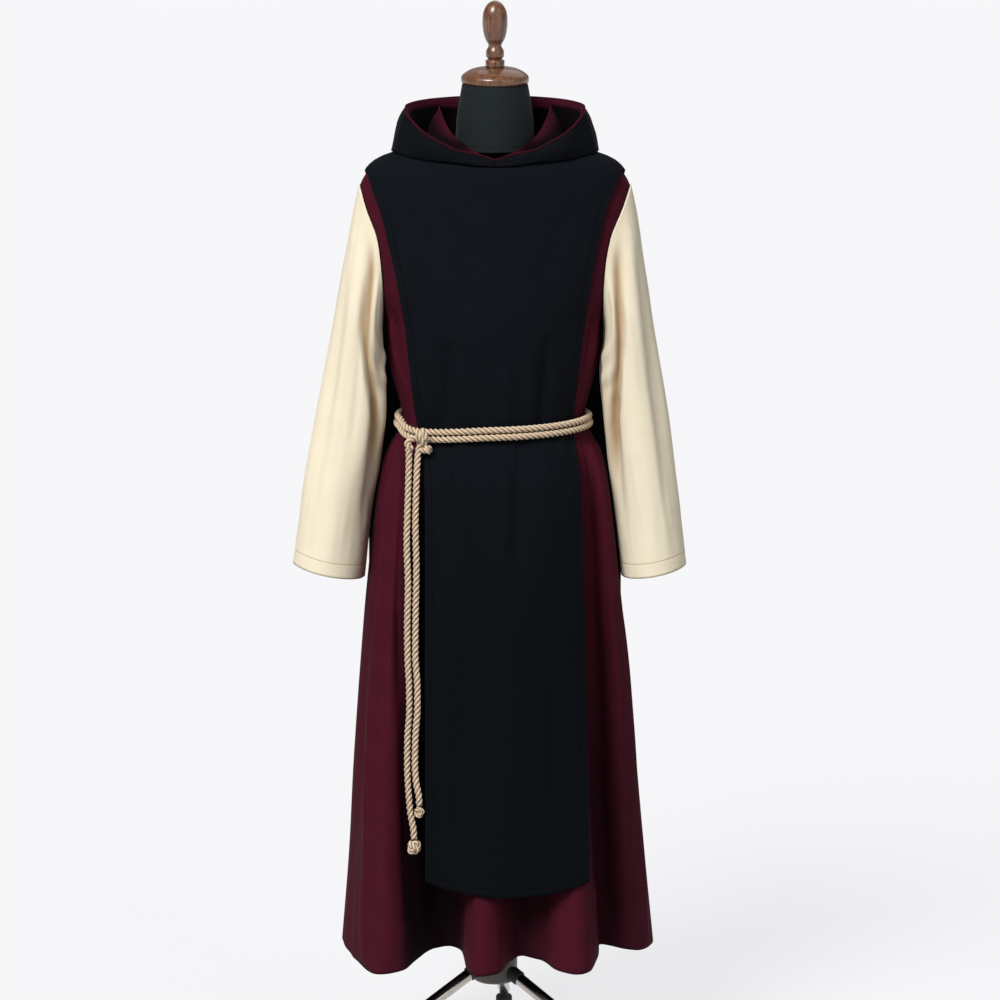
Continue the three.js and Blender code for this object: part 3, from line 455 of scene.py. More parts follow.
def knotRoute(knot):
    girth = (knot["width"] - knot["cord"]) / 2
    reach = (knot["height"] - knot["cord"]) / 2
    turned = Matrix.Rotation(math.radians(knot["turn"]), 3, "Z")
    facing = turned @ Matrix.Rotation(math.radians(knot["lean"]), 3, "X")
    points = []
    steps = 48
    for step in range(steps):
        t = math.tau * step / steps
        ring = 0.62 + 0.38 * math.cos(3 * t)
        place = facing @ Vector((ring * math.cos(2 * t), 0.8 * math.sin(3 * t), ring * math.sin(2 * t)))
        points.append(Vector(knot["middle"]) + Vector((girth * place.x, girth * place.y, reach * place.z)))
    return points


for node, knot in endKnots.items():
    line = alongRoute(knotRoute(knot), rope["step"], closed=True)
    knot["piece"] = ropePiece(node.replace("end_", "cord_"), line, knot["cord"] / 2, node, closed=True)

print("hanging cords made")

# The belt's two turns, over the front panel and the tunic and under the back panel.
beltTurns = {
    "belt_turn_upper": {"height": 1180.3, "half": 167.7, "front": 127.2, "back": 110},
    "belt_turn_lower": {"height": 1167.7, "half": 169.5, "front": 129.6, "back": 112.6},
}
# The knot's weight draws the belt down and a little outwards: turn from the wearer's left side (0)
# by the middle of the front (-90) to the right side (-180), and the drop.
beltDrop = columnOf([(-180, 0), (-166, 1), (-151, 11), (-141, 13), (-124, 10), (-90, 3), (-45, 1), (0, 0)], 1)
beltBulge = 0.36
beltShift = -3
for node, belt in beltTurns.items():
    ring = []
    for step in range(180):
        turn = 2 * step - 180
        across, deep = math.cos(math.radians(turn)), math.sin(math.radians(turn))
        depth = belt["front"] if turn < 0 else belt["back"]
        drop = beltDrop(turn)
        out = Vector((across / belt["half"], deep / depth, 0)).normalized() * drop * beltBulge
        ring.append((beltShift + belt["half"] * across + out.x, depth * deep + out.y, belt["height"] - drop))
    ropePiece(node.replace("belt_turn_", "belt_cord_"), alongRoute(ring, rope["step"], closed=True),
              rope["diameter"] / 2, node, closed=True)

# The knot at the wearer's right: the cord wrapped down over both turns, a tuck below it and a small
# loop. across, deep and high are half the size of the wrap's helix, whose axis runs along X.
beltWraps = {
    "belt_knot": {"middle": (-125, -119, 1162.5), "tilt": -20, "across": 6, "deep": 6, "high": 11.6,
                  "turns": 1.5, "cord": 12},
    "belt_tuck": {"middle": (-118, -118.5, 1142), "tilt": -62, "across": 4.6, "deep": 5, "high": 5.4,
                  "turns": 1.6, "cord": 11},
}
wrapStart = -50               # degrees round the helix
loopRadius = 6.3
beltLoop = [(-134, -115, 1158), (-141, -118.5, 1161), (-148.5, -121, 1158.5), (-151, -122.5, 1152.5),
            (-148.5, -124, 1146.5), (-143.5, -122.5, 1144)]


def wrapRoute(wrap):
    tilt = Matrix.Rotation(math.radians(wrap["tilt"]), 3, "Y")
    points = []
    steps = 60
    for step in range(steps + 1):
        t = step / steps
        angle = math.radians(wrapStart) + math.tau * wrap["turns"] * t
        points.append(Vector(wrap["middle"]) + tilt @ Vector((
            wrap["across"] * (2 * t - 1), -wrap["deep"] * math.sin(angle), wrap["high"] * math.cos(angle))))
    return points


for node, wrap in beltWraps.items():
    ropePiece(node + "_wrap", alongRoute(wrapRoute(wrap), rope["step"]), wrap["cord"] / 2, node,
              squeeze=lambda t: min(1, 0.6 + 5 * min(t, 1 - t)))
ropePiece("belt_knot_loop", alongRoute(beltLoop, rope["step"]), loopRadius, "belt_loop")
print("belt made")

# the body that the tunic takes
# height, half width, depth to the front and to the back, sideways shift, share of the hem's folds
bodyRows = [
    (225, 279, 165, 180, 4.5, 1), (390, 264, 160, 172, 3, 0.87), (554, 252, 153, 162, 0, 0.74),
    (720, 239, 147, 152, -1, 0.61), (883, 223, 141, 142, -3, 0.48), (1000, 210, 137, 135, -3, 0.38),
    (1080, 199, 133, 128, -2, 0.28), (1120, 187, 126, 119, -2, 0.17), (1150, 168.5, 117, 107, -3, 0.06),
    (1174, 158.5, 112, 100, -3, 0.015), (1205, 164, 114, 102, -3, 0), (1255, 178, 118, 106, -3, 0),
    (1302, 186, 120, 109, -3, 0), (1350, 189, 122, 112, -3, 0), (1400, 211, 121, 115, -3, 0),
    (1450, 229, 118, 117, -3, 0), (1500, 238, 113, 116, -2, 0), (1550, 241, 107, 111, -1, 0),
    (1588, 234, 102, 105, 0, 0), (1612, 220, 100, 101, 0, 0), (1626, 205, 98.5, 98, 0, 0),
    (1638, 175, 96.5, 94, 0, 0), (1650, 124, 92, 88, 0, 0), (1660, 86, 84, 80, 0, 0),
]
bodyHalf, bodyFront, bodyBack, bodyShift, bodyFold = [columnOf(bodyRows, i) for i in range(1, 6)]
armholeReach = columnOf([(1350, 189), (1400, 189), (1450, 192), (1500, 200), (1550, 220), (1588, 234)], 1)

# turn on the waist in degrees, x and y on the hem, and how far the hem lifts in a hollow
hemFolds = [
    (-90, -274, 0, 0), (-78, -262, -90, 0), (-66, -236, -172, 0), (-56, -204, -220, 0),
    (-48, -162, -203, 2), (-41, -134, -160, 8), (-33, -110, -108, 14), (-26, -82, -98, 15),
    (-20, -60, -118, 12), (-15, -55, -180, 3), (-9, -30, -233, 0), (-2, 2, -218, 1), (5, 28, -172, 7),
    (12, 50, -150, 12), (19, 80, -164, 9), (26, 110, -202, 3), (34, 146, -222, 0), (40, 172, -204, 2),
    (45, 179, -150, 7), (51, 187, -92, 15), (58, 210, -95, 12), (68, 250, -104, 8), (79, 276, -62, 3),
    (90, 283, 0, 0), (101, 268, 76, 3), (112, 232, 134, 2), (120, 196, 120, 10), (128, 170, 152, 8),
    (137, 154, 212, 0), (146, 116, 236, 0), (154, 84, 202, 5), (161, 64, 156, 12), (168, 38, 154, 13),
    (175, 22, 204, 4), (182, -8, 240, 0), (189, -42, 220, 2), (196, -64, 168, 10), (203, -92, 152, 13),
    (211, -120, 188, 6), (219, -142, 230, 0), (228, -176, 222, 0), (236, -200, 166, 8),
    (244, -216, 120, 12), (253, -246, 108, 7), (262, -268, 56, 3), (270, -274, 0, 0),
]
hemX, hemY, hemRise = linesOf(hemFolds)
waist = {"height": 1174, "hem": 225, "underarm": 1350, "shoulder": 1588, "neckDip": 22, "seamTurn": 0.09}


def ovalPoint(turn, height):
    angle = math.radians(turn)
    depth = bodyFront(height) if math.cos(angle) > 0 else bodyBack(height)
    dip = waist["neckDip"] * max(0, math.cos(angle)) ** 3 * smoothstep(height, 1590, 1660)
    x = bodyShift(height) + bodyHalf(height) * math.sin(angle)
    return Vector((x, -depth * math.cos(angle), height - dip))


def movedOut(turn, height, distance):
    low = min(height, 1659)
    around = ovalPoint(turn + 0.5, low) - ovalPoint(turn - 0.5, low)
    upwards = ovalPoint(turn, low + 1) - ovalPoint(turn, low - 1)
    return ovalPoint(turn, height) + around.cross(upwards).normalized() * distance


def armholeTurn(height):
    if height <= waist["underarm"] or height >= waist["shoulder"]:
        return 90
    return math.degrees(math.asin(min(1, armholeReach(height) / bodyHalf(height))))


def tunicPoint(turn, height):
    point = ovalPoint(turn, height)
    fold = bodyFold(height)
    if fold > 0:
        onHem = ovalPoint(turn, waist["hem"])
        point.x += fold * (hemX(turn) - onHem.x)
        point.y += fold * (hemY(turn) - onHem.y)
    point.z += hemRise(turn) * max(0, (waist["height"] - height) / (waist["height"] - waist["hem"]))
    return point


# creases
# Each crease runs from a place and height at its top to one at its foot: width across it in
# millimetres, depth (a ridge is positive, a trough negative) and how much narrower it is on its
# far side. It wanders a little and fades at both ends, and is nothing past reach widths from its line.
creaseForm = {"wander": 2.2, "reach": 2.6, "fade": 0.55}


def creaseRelief(creases, place, height, spread):
    total = 0
    for top, topHeight, foot, footHeight, width, depth, *farShare in creases:
        if not footHeight < height < topHeight:
            continue
        t = (topHeight - height) / (topHeight - footHeight)
        wander = creaseForm["wander"] * noise.noise(Vector((top * 0.37, height * 0.011, width)))
        off = ((place - top - (foot - top) * t) * spread - wander) / width
        if farShare and off > 0:
            off /= farShare[0]
        if abs(off) < creaseForm["reach"]:
            ends = math.sin(math.pi * min(1, max(0, t))) ** creaseForm["fade"]
            total += depth * math.exp(-off * off) * ends
    return total


def clothNoise(x, height, seed, across=70, along=420):
    return noise.noise(Vector((x / across, height / along, seed)))


# Small gathers where the cord draws the cloth in: they start at the belt and die out above and
# below it, and the cord itself pinches the cloth. The tunic and the front panel share them, so that
# they nest.
gathers = {"above": 75, "below": 110, "depth": 6.5, "fine": 0.55, "pinchHeight": 13, "pinch": 1.2}


def beltGathers(x, height, seed):
    away = height - waist["height"]
    fade = math.exp(-abs(away) / gathers["above" if away > 0 else "below"])
    wave = noise.noise(Vector((x / 17, height / 260, seed)))
    wave += gathers["fine"] * noise.noise(Vector((x / 8, height / 150, seed + 7)))
    pinch = math.exp(-(away / gathers["pinchHeight"]) ** 2)
    return fade * wave * gathers["depth"] - pinch * gathers["pinch"]


# Painted shade on the tunic in its hollows: the hem's own, and the one behind the hanging ends.
hollows = {"hem": 0.66, "ends": 0.8, "most": 0.94, "endsFrom": (-172, -150), "endsTo": (-84, -54)}


def hollowShade(turn, height):
    below = waist["height"] - height
    hem = smoothstep(hemRise(turn), 2, 13) * smoothstep(below, 120, 720)
    place = tunicPoint(turn, height)
    behind = 0
    if place.y < 0:
        behind = smoothstep(place.x, *hollows["endsFrom"]) * (1 - smoothstep(place.x, *hollows["endsTo"])) \
            * smoothstep(below, 10, 60)
    return min(hollows["most"], hollows["hem"] * hem + hollows["ends"] * behind)


print("body tables read")

# tunic
# Place is the turn in degrees round the body. The long folds start under the arms and at the
# shoulders and run to the belt; below it they open into the skirt.
tunicCreases = [
    (-78, 1500, -60, 1180, 9, 6), (-66, 1400, -55, 1178, 8, -6), (-58, 1300, -47, 1176, 5, 5),
    (-84, 1360, -76, 1178, 11, -6), (78, 1490, 63, 1180, 10, 5), (67, 1400, 54, 1178, 6, -5),
    (84, 1350, 74, 1178, 10, -4),
    # the skirt's front: ridges that catch the light, each with a sharper fall on one side
    (-67, 1166, -60, 640, 16, 12, 0.32), (-62, 900, -64, 232, 22, 15, 0.3), (-73, 1166, -78, 700, 11, -10),
    (-58, 1160, -50, 700, 10, -9), (-79, 1000, -80, 232, 26, -7), (-50, 900, -45, 300, 18, -12),
    (60, 1166, 49, 640, 9, 8, 0.5), (51, 900, 44, 240, 9, 10, 0.6), (63, 1166, 57, 640, 10, -11),
    (58, 900, 56, 232, 15, -13, 1.6), (69, 1168, 70, 640, 12, 7), (78, 1100, 79, 236, 22, 8, 0.5),
    (86, 1168, 84, 520, 13, -5), (106, 1480, 118, 1180, 12, 5), (122, 1440, 128, 1178, 10, -5),
    (140, 1500, 146, 1180, 14, 5), (160, 1420, 164, 1178, 12, -4), (182, 1460, 180, 1180, 14, 5),
    (204, 1430, 202, 1178, 12, -5), (222, 1490, 216, 1180, 14, 5), (240, 1440, 236, 1178, 10, -5),
    (254, 1480, 246, 1180, 12, 5), (108, 1168, 112, 620, 12, 6), (132, 1168, 128, 700, 12, -6),
    (156, 1168, 152, 640, 14, 6), (178, 1168, 176, 760, 12, -5), (200, 1168, 203, 660, 13, -6),
    (228, 1168, 232, 600, 14, 6), (250, 1168, 246, 700, 12, -6),
]
tunic = {"columns": 190, "rows": 200, "wall": 1.8, "low": 225, "high": 1660}


def tunicPanel(name, node, first):
    middle = first + 90

    def turnAt(u, height):
        return middle + (2 * u - 1) * (armholeTurn(height) - waist["seamTurn"])

    def heightAt(v):
        return tunic["low"] + (tunic["high"] - tunic["low"]) * v

    def surface(u, v):
        return tunicPoint(turnAt(u, heightAt(v)), heightAt(v))

    # in front, where the panel covers it, the tunic stays under the panel's own folds
    def relief(u, v):
        height = heightAt(v)
        turn = turnAt(u, height)
        spread = bodyHalf(height) * math.pi / 180
        x = turn * spread
        seam = smoothstep(min(u, 1 - u), 0, 0.07)
        top = 1 - smoothstep(height, 1560, 1640)
        skirt = smoothstep(waist["height"] - height, 40, 420)
        depth = creaseRelief(tunicCreases, turn, height, spread) + beltGathers(x, height, 3)
        depth += clothNoise(x, height, first, 46, 360) * (2.2 + 7 * skirt)
        depth += clothNoise(x, height, first + 5, 22, 120) * 0.9
        if first < 0:
            place = tunicPoint(turn, height).x
            right, left = panelRight(height), panelLeft(height)
            covered = smoothstep(place, right - 26, right - 6) * smoothstep(height, 340, 386) \
                * (1 - smoothstep(place, left + 6, left + 26))
            if covered > 0:
                depth += (min(depth, frontRelief(place, height) - 0.5) - depth) * covered
        return depth * seam * top

    bm = bentGrid(surface, tunic["columns"], tunic["rows"], relief=relief,
                  depth=lambda u, v: hollowShade(turnAt(u, heightAt(v)), heightAt(v)))
    piece = addWall(finishPiece(bm, name, burgundyWool, [node]), tunic["wall"])


# scapular
# height, right edge, left edge (x)
frontPanelRows = [
    (388, -122, 166), (602, -122, 162), (950, -122, 154), (1087, -123, 149), (1130, -129, 142),
    (1174, -135, 137), (1224, -142, 142), (1292, -151, 149), (1351, -157, 156), (1404, -166, 163),
    (1452, -174, 170), (1497, -185, 178), (1544, -195, 188), (1576, -206, 199), (1600, -214, 210),
    (1612, -220, 220),
]
panelRight, panelLeft = [columnOf(frontPanelRows, index) for index in (1, 2)]
# height, half width, how far back the middle and the edges hang
backPanelRows = [
    (388, 228, 234, 206), (602, 227, 211, 182), (883, 226, 182, 152), (1080, 225, 155, 128),
    (1174, 224, 138, 112), (1292, 223, 128, 102), (1404, 222, 126, 94), (1497, 221, 122, 82),
    (1544, 221, 117, 68), (1576, 222, 112, 52), (1600, 221, 106, 32), (1612, 223, 100, 2),
]
backHalf, backMiddle, backEdge = linesOf(backPanelRows)
panel = {"columns": 100, "rows": 210, "wall": 1.8, "low": 388, "high": 1649, "sag": 22, "cover": 76,
         "lift": 4.6, "shoulderLift": 6.2}

# place is x in millimetres
frontCreases = [
    (-78, 1330, -84, 1176, 11, -9), (-108, 1380, -112, 1178, 12, 5), (92, 1340, 84, 1176, 10, -9),
    (60, 1330, 66, 1178, 12, 3), (-20, 1300, -30, 1178, 20, -2.5), (20, 1290, 26, 1178, 18, 2),
    (-82, 1172, -78, 930, 13, -8), (-60, 1172, -64, 860, 16, 4), (46, 1172, 34, 900, 15, -8),
    (86, 1172, 92, 900, 18, 4), (-12, 1172, -18, 760, 24, -3), (120, 1172, 138, 620, 14, 4),
    (-40, 960, -52, 400, 40, -5), (36, 900, 52, 392, 44, 5), (110, 820, 118, 392, 34, -5),
    (-100, 820, -98, 392, 26, 4), (-130, 1600, -60, 1380, 26, -3), (135, 1600, 70, 1380, 28, -3),
]
backCreases = [
    (-150, 1540, -128, 400, 30, -8), (-96, 1520, -88, 396, 36, 8), (-40, 1500, -36, 400, 34, -7),
    (14, 1520, 18, 396, 38, 8), (66, 1500, 62, 398, 32, -8), (118, 1530, 112, 396, 34, 7),
    (170, 1540, 158, 400, 28, -7), (-186, 1500, -180, 420, 24, 6),
]


# The panels' own folds at a place across them (x, in millimetres) and a height.
def frontRelief(x, height):
    away = abs(height - waist["height"])
    depth = creaseRelief(frontCreases, x, height, 1) + beltGathers(x, height, 11) * 0.55
    depth += clothNoise(x, height, 21, 90, 330) * 1.8 * smoothstep(away, 10, 200)
    depth += clothNoise(x, height, 23, 30, 90) * 0.7
    return depth * (1 - smoothstep(height, 1520, 1600))


def backRelief(x, height):
    depth = creaseRelief(backCreases, x, height, 1)
    depth += clothNoise(x, height, 31, 80, 380) * 3 + clothNoise(x, height, 33, 26, 110) * 0.8
    return depth * (1 - smoothstep(height, 1500, 1590))


def eased(share):
    return math.sin(share * math.pi / 2)


def panelHeight(v):
    return panel["low"] + (panel["high"] - panel["low"]) * v


def frontPanelX(share, height):
    right, left = panelRight(height), panelLeft(height)
    return (left + right) / 2 + eased(share) * (left - right) / 2


def frontPanelPoint(share, height):
    if height >= 1612:
        return movedOut(share * (90 - 2 * waist["seamTurn"]), height, panel["shoulderLift"])
    x = frontPanelX(share, height)
    sine = min(max((x - bodyShift(height)) / bodyHalf(height), -1), 1)
    turn = math.degrees(math.asin(sine))
    forward = ovalPoint(turn, height)
    forward.y -= panel["lift"] + bodyFold(height) * (panel["cover"] + 8 * eased(share))
    forward.z -= panel["sag"] * (1 - eased(share) ** 2) * (1 - smoothstep(height, 388, 620))
    return forward.lerp(movedOut(turn, height, panel["shoulderLift"]), smoothstep(height, 1480, 1600))


def backPanelPoint(share, height):
    if height >= 1612:
        return movedOut(180 + share * (90 - 2 * waist["seamTurn"]), height, panel["shoulderLift"])
    x = -eased(share) * backHalf(height)
    sine = min(max((x - bodyShift(height)) / bodyHalf(height), -1), 1)
    onBody = movedOut(180 - math.degrees(math.asin(sine)), height, panel["shoulderLift"])
    middle, edge = backMiddle(height), backEdge(height)
    hanging = Vector((x, middle - (middle - edge) * abs(eased(share)) ** 2.5, height))
    hanging.z -= panel["sag"] * (1 - eased(share) ** 2) * (1 - smoothstep(height, 388, 620))
    return hanging.lerp(onBody, smoothstep(height, 1540, 1606))


def scapularPanel(name, node, point, relief):
    bm = bentGrid(lambda u, v: point(2 * u - 1, panelHeight(v)), panel["columns"], panel["rows"],
                  relief=lambda u, v: relief(2 * u - 1, panelHeight(v)))
    piece = addWall(finishPiece(bm, name, blackWool, [node]), panel["wall"])


tunicPanel("tunic_cloth_front", "tunic_front", -90)
tunicPanel("tunic_cloth_back", "tunic_back", 90)
print("tunic made")
scapularPanel("scapular_cloth_front", "scapular_front", frontPanelPoint,
              lambda share, height: frontRelief(frontPanelX(share, height), height))
scapularPanel("scapular_cloth_back", "scapular_back", backPanelPoint,
              lambda share, height: backRelief(-eased(share) * backHalf(height), height))
print("scapular made")

# inner neck ring
# turn, x, y, z of its upper edge, for the wearer's left half
collarTop = linesOf([
    (0, 0, -85, 1644), (12, 17, -83, 1648.5), (26, 37, -75, 1658), (37, 50, -66, 1666), (60, 73, -41, 1681),
    (84, 88, -6, 1701), (97, 94, 16, 1713), (112, 98, 42, 1719), (135, 80, 67, 1719), (180, 0, 84, 1717),
])
# turn, the height on the tunic that its foot stands over, and how far above the cloth it starts
collarSeat, collarLift = [columnOf([
    (0, 1659.5, 0.8), (12, 1659, 1.6), (26, 1657, 3), (48, 1652.5, 3.2), (84, 1651, 3), (135, 1651, 3.2),
    (180, 1650, 4.6)], index) for index in (1, 2)]


def mirrored(lines, turn):
    point = pointOn(lines, abs(turn))
    point.x *= (turn > 0) - (turn < 0)
    return point


def collarPoint(u, v):
    turn = (2 * u - 1) * 180 * 0.998
    foot = ovalPoint(turn, collarSeat(abs(turn))) + Vector((0, 0, collarLift(abs(turn))))
    return foot.lerp(mirrored(collarTop, turn), v)


# It bellies outwards over the shoulders.
def collarRelief(u, v):
    turn = abs(2 * u - 1) * 180
    belly = 9 * smoothstep(turn, 36, 66) * (1 - smoothstep(turn, 120, 160))
    return math.sin(math.pi * min(1, v * 1.1)) * (2 * noise.noise(Vector((u * 9, v * 0.8, 4.2))) + belly)


# hood
hoodRim = linesOf([
    (0, 0, -92, 1643), (12, 26, -92, 1652), (37, 66, -90, 1660), (48, 93, -82, 1672), (60, 121, -67, 1686),
    (72, 142, -46, 1702), (84, 155, -16, 1717), (97, 155, 22, 1721), (112, 136, 60, 1724),
    (135, 96, 87, 1726), (157, 52, 99, 1727), (180, 0, 103, 1727),
])
hoodBelly = linesOf([
    (0, 0, -98, 1640), (12, 28, -99, 1645), (37, 72, -97, 1652), (48, 103, -88, 1660), (60, 131, -71, 1668),
    (72, 153, -46, 1678), (84, 167, -15, 1688), (97, 169, 25, 1688), (112, 155, 74, 1690),
    (135, 118, 120, 1664), (157, 64, 152, 1634), (180, 0, 165, 1618),
])
hoodBase = linesOf([
    (0, 0, -101, 1633.8), (12, 28, -100, 1634.8), (37, 75, -92, 1639.8), (48, 112, -79, 1640.8),
    (60, 140, -62, 1643.4), (72, 161, -39, 1645.2), (84, 176, -13, 1646), (97, 181, 24, 1645),
    (112, 172, 80, 1624), (135, 128, 120, 1550.8), (157, 64, 133, 1476.8), (180, 0, 139, 1448.8),
])
liningFoot = linesOf([
    (0, 0, -88, 1641), (12, 22, -88, 1645), (26, 43, -85, 1649), (48, 85, -71, 1655), (60, 108, -56, 1659),
    (72, 125, -37, 1662), (90, 136, 0, 1665), (112, 124, 49, 1669), (135, 89, 77, 1671), (157, 48, 92, 1673),
    (180, 0, 97, 1675),
])
hood = {"columns": 110, "rows": 46, "wall": 1.8, "liningInset": 2, "seamShare": 0.997, "seamGap": 0.3,
        "rimRadius": 1.7, "rimLift": 0.4, "rimStep": 2, "liningWall": 1.4}


def hoodPoint(turn, share):
    a, b, c = (1 - share) * (1 - 2 * share), 4 * share * (1 - share), share * (2 * share - 1)
    return mirrored(hoodBase, turn) * a + mirrored(hoodBelly, turn) * b + mirrored(hoodRim, turn) * c


def liningPoint(turn, share):
    rim = mirrored(hoodRim, turn)
    inward = Vector((rim.x, rim.y, 0)).normalized() * hood["liningInset"]
    return mirrored(liningFoot, turn).lerp(rim - inward, share)


# The cowl's folds: place is the turn, height is the share from the base to the rim in thousandths.
hoodCreases = [
    (40, 960, 30, 60, 7, -2.5), (62, 980, 52, 40, 8, 2.5), (78, 960, 70, 80, 9, -3),
    (98, 940, 96, 60, 10, 3), (116, 960, 112, 80, 10, -5), (128, 960, 126, 40, 9, 5),
    (142, 940, 140, 80, 9, -6), (156, 960, 154, 40, 9, 5), (170, 940, 170, 80, 8, -5),
]


def hoodRelief(turn, share):
    place = abs(turn)
    depth = creaseRelief(hoodCreases, place, share * 1000, 1.7)
    depth += noise.noise(Vector((turn * 0.045, share * 1.4, 8.1))) * 3.5
    depth += noise.noise(Vector((turn * 0.13, share * 4, 2.4))) * 0.9
    seam = smoothstep(min(place, 180 - place), 0, 6)
    return depth * seam * math.sin(math.pi * share) ** 0.6


def liningRelief(turn, share):
    depth = noise.noise(Vector((turn * 0.06, share * 1.6, 5.5))) * 4 - 1.5
    return depth * smoothstep(min(abs(turn), 180 - abs(turn)), 0, 8) * math.sin(math.pi * share)


# The lining shows burgundy for a finger's width under the rim; below that painted shade takes it
# to dark, and a fifth of that painted shade lies all over it.
def liningPaintedShade(turn, share):
    below = (liningPoint(turn, 1) - liningPoint(turn, share)).length
    return 0.2 + 0.8 * smoothstep(below, 6, 14)


def hoodHalf(side, point, relief, depth=None):
    def turnAt(u):
        return 180 * u if side > 0 else -180 * (1 - u)

    def surface(u, v):
        turn = turnAt(u)
        kept = 90 + (abs(turn) - 90) * hood["seamShare"]
        place = point(side * kept, v)
        if abs(turn) < 1e-6 or abs(turn) > 179.999:
            place.x = side * hood["seamGap"]
        return place

    return bentGrid(surface, hood["columns"], hood["rows"], relief=lambda u, v: relief(turnAt(u), v),
                    depth=depth and (lambda u, v: depth(turnAt(u), v)))


for which, side in (("left", 1), ("right", -1)):
    outer = finishPiece(hoodHalf(side, hoodPoint, hoodRelief), f"hood_cloth_{which}", hoodWool,
                        [f"hood_{which}"])
    addWall(outer, hood["wall"])
    inner = finishPiece(hoodHalf(side, liningPoint, liningRelief, liningPaintedShade), f"hood_inner_{which}",
                        burgundyWool, [f"hood_lining_{which}"])
    addWall(inner, hood["liningWall"])


# Painted shade on the ring: it is dark through its middle, and burgundy along its top edge and
# beside the V.
def collarPaintedShade(u, v):
    turn = abs(2 * u - 1) * 180
    top = smoothstep(v, 0.62, 0.94) * smoothstep(turn, 40, 66)
    side = smoothstep(turn, 18, 40) * (1 - 0.75 * top)
    return 0.15 + 0.8 * max(side, smoothstep(turn, 96, 120) * (1 - smoothstep(v, 0.86, 0.97)))


ring = bentGrid(collarPoint, 160, 14, relief=collarRelief, depth=collarPaintedShade)
collar = addWall(finishPiece(ring, "tunic_neck_ring", burgundyWool, ["tunic_collar"]),
                 hood["liningWall"])
print("hood and neck ring made")

# sleeves
# share from the armhole (0) to the cuff (1); outer edge x, z; inner edge x, z; depth front and back
sleeveRows = {
    -1: [(0, 235, 1588, 194.5, 1350, 63, 63), (0.1, 249, 1527, 197, 1318, 66, 64),
         (0.24, 268, 1436, 191, 1268, 67, 62), (0.42, 289, 1308, 189.5, 1196, 66, 60),
         (0.6, 310, 1190, 199, 1106, 67, 61), (0.8, 334, 1060, 217, 1006, 70, 64),
         (1, 356, 919, 229, 894, 74, 68)],
    1: [(0, 235, 1588, 187.5, 1350, 63, 63), (0.1, 248, 1530, 190.5, 1318, 66, 64),
        (0.24, 262, 1436, 184, 1268, 67, 62), (0.42, 281, 1312, 189, 1196, 66, 60),
        (0.6, 301, 1190, 198, 1106, 67, 61), (0.8, 319, 1056, 211, 1006, 70, 64),
        (1, 337, 917, 222, 896, 74, 68)],
}
# where each long crease runs round the sleeve, in degrees from its outer edge towards the front,
# at the armhole, half way and at the cuff; how wide and how deep it is
sleeveCreases = [(62, 138, 160, 12, 17), (-50, -96, -120, 18, 11), (20, 40, 62, 20, 5)]
# soft folds over the form: place in degrees at the top and the foot, share in thousandths
sleeveFolds = [
    (96, 985, 128, 560, 9, -4), (84, 960, 96, 380, 12, 3), (52, 900, 66, 180, 13, -2.6),
    (30, 860, 44, 160, 15, 2.4), (8, 700, 12, 120, 16, -2.2), (-20, 900, -34, 200, 13, -3),
    (-60, 960, -80, 300, 12, 3.5),
    (-96, 980, -120, 480, 10, -4.5), (150, 940, 160, 420, 10, -3.5), (130, 760, 140, 120, 12, 3),
    (-150, 920, -156, 300, 12, 3),
]
sleeve = {"columns": 132, "rows": 150, "wall": 1.8, "armholeGap": 2.4, "setBack": -8}
sleeveLines = {side: [columnOf(rows, index) for index in range(1, 7)] for side, rows in sleeveRows.items()}


def armholePoint(side, angle):
    middle = (waist["underarm"] + waist["shoulder"]) / 2
    height = middle + (waist["shoulder"] - middle) * math.cos(math.radians(angle))
    turn = armholeTurn(height) - waist["seamTurn"]
    point = ovalPoint(side * turn if math.sin(math.radians(angle)) >= 0 else side * (180 - turn), height)
    point.x += side * sleeve["armholeGap"]
    return point


def creasePlace(crease, share):
    top, halfWay, cuff = crease[:3]
    return top + (halfWay - top) * share * 2 if share < 0.5 else halfWay + (cuff - halfWay) * (share * 2 - 1)


# Painted shade on the sleeve: in its long front crease, and on the side that faces the body.
sleeveHollows = {"past": 3, "wide": 12, "crease": 0.85, "inner": 0.22}


def sleeveShade(angle, share):
    off = (angle - creasePlace(sleeveCreases[0], share) - sleeveHollows["past"]) / sleeveHollows["wide"]
    line = math.exp(-off * off) * smoothstep(share, 0.02, 0.1) * (1 - smoothstep(share, 0.5, 0.72))
    inner = smoothstep(abs(angle), 112, 165) * smoothstep(share, 0.05, 0.2) \
        * (1 - smoothstep(share, 0.6, 0.9))
    return min(sleeveHollows["crease"], sleeveHollows["crease"] * line + sleeveHollows["inner"] * inner)


def sleeveRing(side, angle, share, at):
    lines = sleeveLines[side]
    outerX, outerZ, innerX, innerZ = [line(at) for line in lines[:4]]
    sine = math.sin(math.radians(angle))
    depth = lines[4](share) if sine >= 0 else lines[5](share)
    crease = 0
    for line in sleeveCreases:
        off = ((angle - creasePlace(line, share) + 180) % 360 - 180) / line[3]
        crease += line[4] * math.exp(-off * off)
    crease *= math.sin(math.pi * min(1, share * 1.15 + 0.05))
    shrink = 1 - crease / depth
    along = math.cos(math.radians(angle)) * shrink
    return Vector((side * ((outerX + innerX) / 2 + (outerX - innerX) / 2 * along),
                   sleeve["setBack"] - depth * sine * shrink,
                   (outerZ + innerZ) / 2 + (outerZ - innerZ) / 2 * along))


def sleevePoint(side, angle, share):
    fade = 1 - smoothstep(share, 0, 0.3)
    point = sleeveRing(side, angle, share, share)
    if fade > 0:
        point += (armholePoint(side, angle) - sleeveRing(side, angle, share, 0)) * fade
    return point


